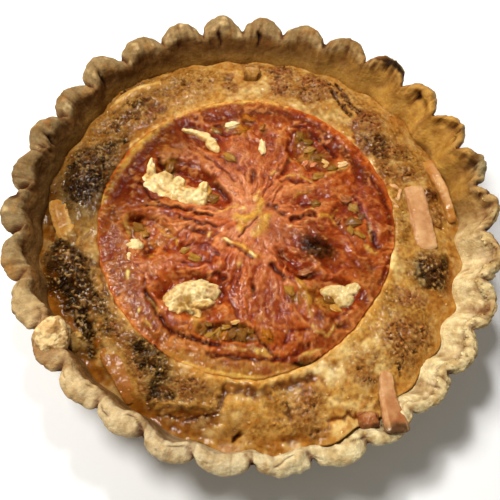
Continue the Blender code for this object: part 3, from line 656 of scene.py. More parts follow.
fillMarks = [
    (-46, 33, 8, 14, -45, 0.4, "roastGold", 0.95), (-36, 46, 5, 11, -65, 0.3, "roastGold", 0.85),
    (-44, 36, 4, 7, -45, 0.3, "charGrey", 0.5), (-33, 44, 3, 5, -60, 0.3, "charGrey", 0.4),
    # golden and amber ground, from the left round by the top to the right and the bottom
    (((-66, 20), (-64, 8), (-64, -4)), 2.5, 0, "amberDark", 0.7),
    (((-62, -9), (-62, -17), (-58, -26), (-52, -35), (-46, -42)), 3.0, 0, "amber", 0.85),
    (((-47, -46), (-40, -51), (-33, -57), (-27, -61)), 2.6, 0, "amber", 0.85),
    (((-26, -61), (-18, -62), (-8, -63)), 3.0, -0.2, "amberDark", 0.85),
    (((-40, 24), (-43.5, 15), (-46, 7), (-47.5, 1)), 2.2, 0.2, "custardDeep", 0.9),
    (((-38, 24.5), (-42, 16), (-44.5, 8), (-46.3, 3)), 1.1, 0.3, "custardPale", 0.75),
    (((-46.5, 16), (-48.2, 10), (-48.5, 4)), 0.9, -0.4, "amberDark", 0.8),
    (((-31, 33), (-36, 30), (-41, 27)), 2.0, -0.3, "custardDeep", 0.9),
    (((-30, 52.5), (-24, 52), (-18, 52)), 3.0, 0.3, "roastGold", 0.85),
    (-14, 45.5, 7, 3, 12, 0.2, "custard", 0.9), (-4, 48.3, 5, 2.6, 5, 0.4, "custardPale", 0.9),
    # the deep custard spot at (-12, 53.6) is painted shade in a small hollow
    (((-14, 55.2), (-8, 54)), 1.8, 0.6, "custard", 0.9), (-12, 53.6, 2, 1, 0, -0.6, "custardDeep", 0.8),
    (0, 50.5, 1.6, 2.5, 0, 0.3, "custardPale", 0.8), (3, 46.8, 3.5, 1.5, 0, 0, "custardDeep", 0.6),
    (((10, 44.3), (16, 43), (21, 41)), 2.0, 0.3, "custardPale", 0.9), (23.5, 43, 3, 3, 0, 0.4, "onion", 0.8),
    (25.5, 39.7, 3, 1.5, -30, 0.2, "custardPale", 0.8), (28, 36.8, 3, 2, -40, 0.1, "custard", 0.8),
    (((31, 32), (34, 28.5), (36, 25)), 1.4, -0.5, "custardDeep", 0.9),
    (43, 37, 5, 5, 0, 0.2, "custard", 0.8), (45, 43, 4, 3, -40, 0.2, "custardDeep", 0.8),
    (((35.8, 24), (37.8, 20), (39.8, 16.5)), 1.3, 0.7, "cream", 0.97),
    (((40, 21), (42.5, 15)), 1.2, -0.3, "custardDeep", 0.7),
    (61, 1, 3, 4, 0, 0.2, "custard", 0.8), (62.6, -12, 2.4, 7, 0, -0.2, "custardDeep", 0.95),
    (44.5, -10, 2.6, 5.5, 10, 0.3, "custardPale", 0.95), (57, -20.5, 4, 4, 0, 0.5, "custardDeep", 0.8),
    (38, -37, 4, 3, 30, 0.4, "custardPale", 0.7), (31, -40, 3.3, 3.5, -30, 0.5, "custardPale", 0.85),
    (26, -46, 5.5, 3.2, -15, 0.5, "cream", 0.85), (34, -48, 4, 2.4, 30, 0.3, "cream", 0.5), (30, -50.5, 7, 4.5, 10, 0.5, "custard", 0.9),
    (((27, -53.8), (33, -53.4), (38, -52.5)), 1.3, 0.5, "custardPale", 0.8),
    # a fold line, darker, partly painted shade
    (((26, -57.3), (31, -57), (36.5, -55.2), (40, -56)), 0.8, -0.9, "custardDeep", 0.9),
    (32, -60.3, 4.5, 2.8, 15, 0.6, "custardPale", 0.85), (-49, -7, 3, 3.5, -30, 0.3, "custard", 0.9),
    (-46, -15.3, 3, 2, -30, 0.6, "custardPale", 0.9),
    (((-39.5, -24.5), (-37, -29.5), (-33, -33.5), (-30, -35.5)), 1.3, 0.7, "custardPale", 0.9),
    (((-42, -22), (-40.3, -27), (-37, -31.5)), 0.9, -0.6, "amberDark", 0.85),
    (((-36.5, -26), (-34, -30.5), (-30, -34.5), (-26, -38.5), (-20, -43)), 0.7, -0.5, "custardDeep", 0.9),
    # painted shadow along a shallow groove under the tomato's near edge
    (((-3, -52), (4, -52.6), (10, -52), (15, -50.2), (20, -47.3)), 2.0, -0.5, "amberDark", 0.85),
    (22, -48.8, 3.5, 1.8, 15, 0.1, "custardDeep", 0.7), (1, -56.5, 4, 3, 0, 0.7, "custard", 0.9),
    (8, -58, 3.3, 2.4, 0, 0.6, "custard", 0.9), (14, -66, 9, 2, 8, 0, "custardDeep", 0.85),
    (-2, -62.5, 3, 3, 0, 0.6, "custard", 0.8), (5.5, -62.5, 4, 2.2, 0, 0.3, "roastGold", 0.7),
    # charred and roasted places
    (-52, 11.5, 8.5, 12.5, -15, 0.5, "charGrey", 0.97), (-53.5, 8, 5, 6, -20, 0.3, "charBrown", 0.8), (-46, 24, 5, 3, 40, 0.3, "charGrey", 0.7), (-58, 12.2, 2, 1.8, 0, -0.4, "charBlack", 0.6),
    (((-47.8, 16), (-47.2, 9)), 1.1, -0.3, "charBlack", 0.7), (-53, 18, 6.5, 3.4, 20, 0.3, "charGrey", 0.7),
    # the black spot at (-43, 24) sits in a pit and is partly painted shade
    (-43, 24, 1.7, 1.5, 40, -0.9, "charBlack", 0.8), (-42, 21, 1.8, 1.2, 0, -0.3, "amberDark", 0.7),
    (((-53.5, 29), (-52, 34), (-50, 38), (-47, 43), (-44, 46.3), (-38, 48.7), (-32, 49.8)), 2.1, 0.7,
     "roastGold", 0.9),
    (((-48, 27), (-45, 32), (-41, 35), (-38, 39)), 4.2, 0.3, "roastGold", 0.85),
    (((-47, 29), (-44, 33.5), (-40, 34)), 1.5, -0.4, "roastDark", 0.6),
    (((-46.5, 43), (-43, 45), (-40, 47.2)), 0.8, -0.7, "roastDark", 0.7),
    (-53, 25, 4, 3.5, 30, 0.2, "roastGold", 0.9), (-40, 38, 3, 1.9, 30, 0.6, "charGrey", 0.8),
    # the dark amber spot at (-35, 37.8) is partly painted shade in a hollow
    (-38, 41, 1.8, 1.2, 20, -0.2, "roastDark", 0.9), (-35, 37.8, 2.7, 2, -20, -0.7, "amberDark", 0.85),
    (((-32.5, 38.5), (-36, 35.3), (-37.2, 31.5)), 1.1, 0.6, "roastPink", 0.8),
    (-28.5, 48, 1.8, 2.2, 20, 0.2, "roastDark", 0.7), (-27, 45.8, 2.4, 1.2, 10, 0.3, "roast", 0.7),
    (-22, 47.5, 4, 3, 0, 0.2, "roastGold", 0.7), (-30, 44, 4, 3, 40, 0.2, "roastGold", 0.8),
    (-11, 48.8, 2.4, 3.4, 30, -0.1, "roast", 0.95), (-12.6, 51.5, 2, 1.4, 0, -0.4, "roastDark", 0.5),
    (-4.5, 58.3, 4.4, 2.2, 5, 0.7, "roast", 0.85), (6, 56.5, 5, 3.3, 0, 0.4, "roastPink", 0.95),
    (1.8, 57, 1.6, 1.3, 0, 0.2, "roastDark", 0.8), (6, 58.5, 2, 1, 0, 0.1, "roastDark", 0.5),
    (5.5, 50.8, 4.3, 3.6, 10, 0.3, "roastPink", 0.9), (4, 53.7, 2.2, 1.1, 0, -0.4, "roastDark", 0.6),
    (10.5, 49.5, 3, 3, 0, 0.3, "roastGold", 0.8), (14.5, 54.5, 3.4, 2.4, 0, 0.4, "roastPink", 0.9),
    (19.5, 53.5, 3.5, 2.6, -20, 0.5, "roastPink", 0.9), (16, 49, 5, 3.6, -10, 0.3, "roast", 0.85),
    (23.5, 50.5, 2.6, 3, 0, 0.2, "roast", 0.85), (16.5, 57, 2.5, 1, 0, 0.1, "roastDark", 0.6),
    (30, 47, 8, 4, -50, 0.3, "roastGold", 0.8),
    # the three dark fold lines are partly painted shade
    (((24.5, 54.5), (27.5, 49), (30, 45), (32.5, 42)), 0.8, -0.8, "roastDark", 0.9),
    (((23.5, 50), (26.5, 45.5), (28.8, 41)), 0.8, -0.7, "roastDark", 0.85),
    (((28, 50), (31, 46.2), (34, 42.5)), 0.6, -0.7, "roastDark", 0.8),
    (((26, 52), (28.5, 47.5), (31, 43.5)), 0.6, 0.6, "roastPink", 0.7),
    (34.6, 41.3, 1.3, 1.1, 0, -0.2, "charBlack", 0.85), (36, 40, 5, 4.4, -50, 0.2, "roastPink", 0.85),
    (((31, 38.5), (32.5, 33)), 1.6, 0.4, "roastPink", 0.9), (38, 31, 5, 4.4, -30, 0.4, "roastDark", 0.9),
    (40.8, 28, 3.4, 2.6, 0, 0.2, "roastDark", 0.8), (45.5, 30.2, 4.2, 3.2, 15, 0.8, "roast", 0.92),
    (48.2, 28.5, 1.6, 2.2, 20, -0.1, "roastDark", 0.7), (((43.5, 36), (47, 38.5)), 0.9, 0.5, "roastGold", 0.9),
    (51, 25.5, 5.5, 4.6, -50, 0.4, "roastGold", 0.85), (47, 21.5, 4, 3, 0, 0.1, "roast", 0.85),
    (41, 22.5, 2.4, 4, 30, 0.3, "roast", 0.9), (45.5, 12, 2.6, 5, -8, 0.4, "roastGold", 0.8),
    (56, 15, 3.2, 3.6, 0, -0.2, "custardDeep", 0.8), (56, 15, 2.4, 2.7, 0, 0.9, "roastDark", 0.95),
    (57, 8.2, 3.8, 3.1, 0, 0.7, "roast", 0.8), (((53.5, 10.5), (55, 5), (59, 4.2)), 0.6, -0.5, "custardDeep", 0.8),
    (45, 1.5, 4, 5.5, 0, 0.2, "roastGold", 0.8), (60, 4.3, 4, 1.4, 20, 0, "custard", 0.6),
    (55.5, -11.4, 6.4, 6, 0, 0.5, "charBrown", 0.97), (60, -8, 1.6, 3.4, 10, -0.1, "charBlack", 0.6),
    (56.5, -16.6, 3.5, 1.2, -8, -0.2, "charBlack", 0.6), (52, -12.7, 1.6, 1.6, 0, 0, "charBlack", 0.55),
    # the two pale spots at (51.6, -10.6) and (52.2, -15.3) are painted glints
    (51.6, -10.6, 0.9, 1.5, 0, 0.3, "ash", 0.8), (52.2, -15.3, 1.0, 1.0, 0, 0.4, "ash", 0.8),
    (55.8, -7.5, 2.5, 1.6, 0, 0.2, "roast", 0.5),
    (48, -20.5, 5.5, 3.6, 0, 0.3, "roastPink", 0.85), (42.5, -21.5, 3, 4, 0, 0.2, "roastGold", 0.85),
    (45, -27, 5, 3.2, 0, 0.2, "roastGold", 0.85), (50.5, -25.5, 4.4, 2.6, 10, 0.5, "roastGold", 0.8),
    (49, -35, 8.2, 8.6, -20, 0.6, "roastGold", 0.85), (47, -31.5, 7, 4.6, 15, 0.3, "roast", 0.9),
    (46.5, -37, 4.5, 5, 10, 0.1, "roast", 0.75), (53, -31, 2.6, 2.6, 0, 0.1, "roast", 0.8),
    # painted shade: dark lines along the cracks
    (((42.5, -30.5), (46, -28.8), (50, -29.2), (54.5, -31)), 0.25, -0.4, "crack", 0.6),
    (((45, -35.5), (47.5, -38), (46.3, -41), (47, -44)), 0.25, -0.4, "crack", 0.6),
    (((44, -41.5), (46.5, -42.3)), 0.3, -0.6, "crack", 0.8), (((45.5, -31.5), (46.5, -35), (51, -37)), 0.3, -0.5, "crack", 0.6),
    (36, -41.5, 4.2, 4.6, 0, 0.3, "roast", 0.65), (36.5, -46, 3, 2.5, 0, 0.2, "roast", 0.6),
    (41, -43.5, 1.6, 2.6, 10, 0.3, "custardPale", 0.8), (39, -52, 1.4, 3.5, 0, 0.1, "custard", 0.8),
    (20.8, -53.5, 4.2, 3.8, 0, 0.6, "roast", 0.9), (12.5, -54.3, 4.6, 2.8, 0, 0.6, "roastGold", 0.95),
    (18, -57.8, 4.2, 2.4, 0, 0.4, "roast", 0.8), (14.5, -56.5, 1.2, 2.2, 20, -0.6, "roastDark", 0.6),
    (21, -61.7, 5, 2.5, 5, 0.3, "roastDark", 0.6), (17, -64.5, 5, 1.5, 5, -0.2, "amber", 0.7),
    # the dark spot at (1.4, -64.5) is painted shade in a small hole
    (13, -60.5, 3, 2.4, 0, 0.4, "roastGold", 0.8), (1.4, -64.5, 0.9, 0.7, 20, -1.5, "crack", 0.9),
    (7, -67, 6, 1.4, 0, 0.3, "roastGold", 0.8),
    # the long charred stretch on the left and the lower left
    (-53.5, -21, 7.5, 11, 30, 0.5, "char", 0.97), (-49, -30, 5.5, 6, 20, 0.3, "char", 0.95),
    (-55, -27, 3.6, 2.4, -30, -0.4, "charBlack", 0.85), (-50, -28.5, 2, 3, 0, -0.3, "charBlack", 0.75),
    (-57.5, -14, 2.6, 1.6, 20, -0.3, "charBlack", 0.7), (-48, -17.5, 2.5, 1.2, -30, -0.3, "charBlack", 0.6),
    (-53.5, -16.5, 3.5, 1.8, 0, 0.4, "charGrey", 0.6), (-49, -22, 2.6, 2.4, 0, 0.4, "charGrey", 0.5),
    (-43.3, -19.2, 3.2, 1.6, -30, 0, "maroon", 0.8), (-42, -31, 3, 4.4, 20, 0.5, "charGrey", 0.9),
    (-46, -35, 2.4, 4, 0, -0.4, "charBlack", 0.85), (((-45.5, -36), (-44, -41), (-41.5, -45)), 2.4, -0.3, "charBlack", 0.95),
    (-38, -38.5, 3.4, 2.6, -20, 0.4, "charGrey", 0.85), (-35.5, -37, 2.5, 1.4, 0, 0.3, "roastPink", 0.6),
    (-41.3, -42, 1.3, 1.4, 0, 0.8, "amber", 0.9), (-47, -42.5, 2.6, 3.6, 10, 0.3, "onion", 0.85),
    (-38.5, -34.5, 3, 1.4, -40, 0.4, "charGrey", 0.6), (-33, -40.5, 4, 2.4, -20, 0.3, "roast", 0.8),
    (-25, -45, 7, 5, -25, 0.6, "charGrey", 0.95), (-28.5, -43.7, 2.2, 1.6, -30, -0.4, "charBlack", 0.75),
    (((-28, -48), (-25, -47), (-22.5, -48.6)), 0.7, -0.6, "charBlack", 0.8),
    (-26.6, -48.6, 1.6, 1.5, 0, -0.2, "charBlack", 0.7), (-21, -52.3, 3.5, 3.2, 0, -0.4, "charBlack", 0.92),
    (-22.5, -56.5, 2.4, 2.4, 0, 0.1, "char", 0.85), (-36.5, -48.5, 1.6, 2.6, 20, 0, "char", 0.7),
    (((-31.5, -45.5), (-27.5, -51), (-25, -55)), 1.4, 0.2, "roast", 0.75),
    (-12, -52, 7.2, 4.2, 5, 0.9, "roast", 0.92), (-5, -51, 3, 3.2, 0, 0.5, "custard", 0.92),
    (-10.5, -48.8, 5.5, 1.8, 5, 0.3, "custard", 0.85), (-14, -46.8, 2.2, 1.1, 15, 0.6, "cream", 0.9),
    (((-20.5, -58), (-15, -57.4), (-9, -57.3), (-5.5, -55.4)), 1.1, 0.7, "roastGold", 0.85),
    (-19, -55.5, 2.5, 1.6, 0, -0.3, "char", 0.8),
    (-12, -60.3, 9, 2.2, 3, -0.2, "amberDark", 0.9), (((-20, -60.8), (-12, -61), (-5, -59)), 0.5, -0.4, "roastDark", 0.6),
    (((-4.2, -58), (-3.4, -54), (-2.5, -51.5)), 0.7, -0.5, "amberDark", 0.6),
    # pale threads by the onion strip, and small seeds
    (-60, -9, 2, 3.4, 10, -0.2, "amber", 0.8), (((-61, -3), (-58.5, -8), (-55.8, -12)), 0.6, 0.4, "custardPale", 0.7),
    (((-54.5, 0), (-51.5, -1.8), (-50, -3.5)), 1.2, 0.4, "custardPale", 0.6),
    (((-54, -3), (-52, -8), (-50.5, -12)), 0.8, 0.3, "custard", 0.8),
    (17.5, 41.4, 1.6, 0.8, 0, 0.3, "seedDark", 0.8),
]
fillLook = numpy.tile(paints["custard"], (len(fillPoints), 1))
wander = [1.3 * ripple(flat(x, y), 4, 21 + turn) + 0.7 * ripple(flat(x, y), 1.5, 25 + turn) for turn in (0, 1)]
relief = layMarks(x + wander[0], y + wander[1], fillLook, fillMarks)
crisp = fillLook[:, 4].copy()
curls = worms(flat(x, y) + 0.5 * ripple(flat(x, y), 1.5, 16)[:, None], (2.6, 1.6, 1), 11)
crumbs = worms(flat(x, y), 1.1, 12)
wide = worms(flat(x, y) + 0.8 * ripple(flat(x, y), 2.4, 32)[:, None], (4.2, 2.6, 1), 33)
rough = 0.4 * wide + 0.35 * curls + 0.25 * crumbs + 0.4 * ripple(flat(x, y), 0.8, 13) + 0.25 * ripple(flat(x, y), 1.6, 34)
smooth = 0.35 * ripple(flat(x, y), 3.5, 14) + 0.22 * ripple(flat(x, y), 1.5, 15)
relief += crisp * (rough - 0.4) * 0.8 + (1 - crisp) * smooth
# on crisp places: painted shade in the furrows, dark roast and black; pale crumbs on the ridge tops, partly painted
# highlight
cover(fillLook, crisp * 0.5 * ease(rough, 0.3, -0.4), "roastDark")
sooty = ease(fillLook[:, 0], 0.16, 0.06)
cover(fillLook, crisp * sooty * 0.6 * ease(rough, 0.25, -0.35), "charBlack")
cover(fillLook, crisp * 0.8 * ease(rough + 0.4 * ripple(flat(x, y), 0.9, 19) + 0.3 * ripple(flat(x, y), 5, 35), 0.5, 1.0), "crumbAndGlintPale")
cover(fillLook, crisp * 0.4 * ease(ripple(flat(x, y), 3, 36), 0.1, 0.7), "amber")
cover(fillLook, (1 - crisp) * 0.6 * ease(ripple(flat(x, y), 2.2, 17) + 0.4 * ripple(flat(x, y), 0.9, 20), 0.1, 0.7), "custardDeep")
cover(fillLook, (1 - crisp) * 0.6 * ease(ripple(flat(x, y), 2.8, 18), 0.1, 0.6), "custardPale")
around = numpy.hypot(x, y)
cover(fillLook, 0.7 * (1 - crisp) * ease(around, 58, 65.5) * ease(cosine(fillAngle - 190), -0.4, 0.5), "amber")
cover(fillLook, 0.5 * (1 - crisp) * ease(around, 60, 65.5) * ease(cosine(fillAngle - 190), -0.2, -0.8), "custardDeep")
cover(fillLook, 0.5 * (1 - crisp) * ease(ripple(flat(x, y), 6, 27) + 0.5 * ripple(flat(x, y), 2, 28), 0.2, 0.8), "custardDeep")
cover(fillLook, 0.5 * (1 - crisp) * ease(ripple(flat(x, y), 5, 30) + 0.4 * ripple(flat(x, y), 1.8, 31), 0.2, 0.8), "custardPale")
sunny = bell(aroundFrom(fillAngle, 310), 52)[:, None] * (0.16, 0.22, 0.24)
shady = (0.24 * bell(aroundFrom(fillAngle, 165), 38) + 0.35 * bell(aroundFrom(fillAngle, 180), 13)
         + 0.14 * bell(aroundFrom(fillAngle, 238), 22))[:, None]
fillLook[:, :3] *= 0.82 + sunny - shady * (around > 46)[:, None]
top = custardHeight(x, y) + relief
fromTomato = numpy.hypot(x - tomato["x"], y - tomato["y"]) + 0.5 * ripple(flat(x, y), 4, 23) + 0.25 * ripple(flat(x, y), 1.5, 24)
fromTomato += tomato["radius"] - tomatoRadius(numpy.arctan2(y - tomato["y"], x - tomato["x"]))
top += 0.6 * bell(fromTomato - 46.4, 2.0)
underTomato = ease(fromTomato, 43.2, 45.6)
top = numpy.where(onTop, top * underTomato + numpy.minimum(top, 20.5) * (1 - underTomato), fillPoints[:, 2])
fillPoints = numpy.stack([x, y, top], axis=1)
placePoints(fillForm, fillPoints * mm)
# painted shade in the custard's creases and painted light on its ridges, less on crisp places
paintShadeAndRidgeLight(fillForm, fillLook, 10, 2.4, 1.3, onTop * ease(share, 0.99, 0.9) * (1 - 0.45 * crisp))
finishPiece(fillForm, "custard", fillLook, custardMaterial, ["filling"])


# ---------------------------------------------------------------- the tomato slice



def discForm(name, cells):
    shape = bmesh.new()
    bmesh.ops.create_grid(shape, x_segments=cells, y_segments=cells, size=1)
    border = [edge for edge in shape.edges if edge.is_boundary]
    level = shape.verts.layers.float.new("level")
    for index in range(4):  # the side, folded down from the edge
        grown = bmesh.ops.extrude_edge_only(shape, edges=border)["geom"]
        border = [part for part in grown if isinstance(part, bmesh.types.BMEdge) and part.is_boundary]
        for part in grown:
            if isinstance(part, bmesh.types.BMVert):
                part[level] = index + 1
    bmesh.ops.contextual_create(shape, geom=border)
    return asMesh(shape, name)


def roundedSquare(points):  # the square's rows and columns spread evenly over a disc
    u, v = points[:, 0], points[:, 1]
    wide = numpy.abs(u) > numpy.abs(v)
    reach = numpy.where(wide, u, v)
    safe = numpy.where(reach == 0, 1, reach)
    turn = numpy.where(wide, math.pi / 4 * v / safe, math.pi / 2 - math.pi / 4 * u / safe)
    return reach * numpy.cos(turn), reach * numpy.sin(turn)


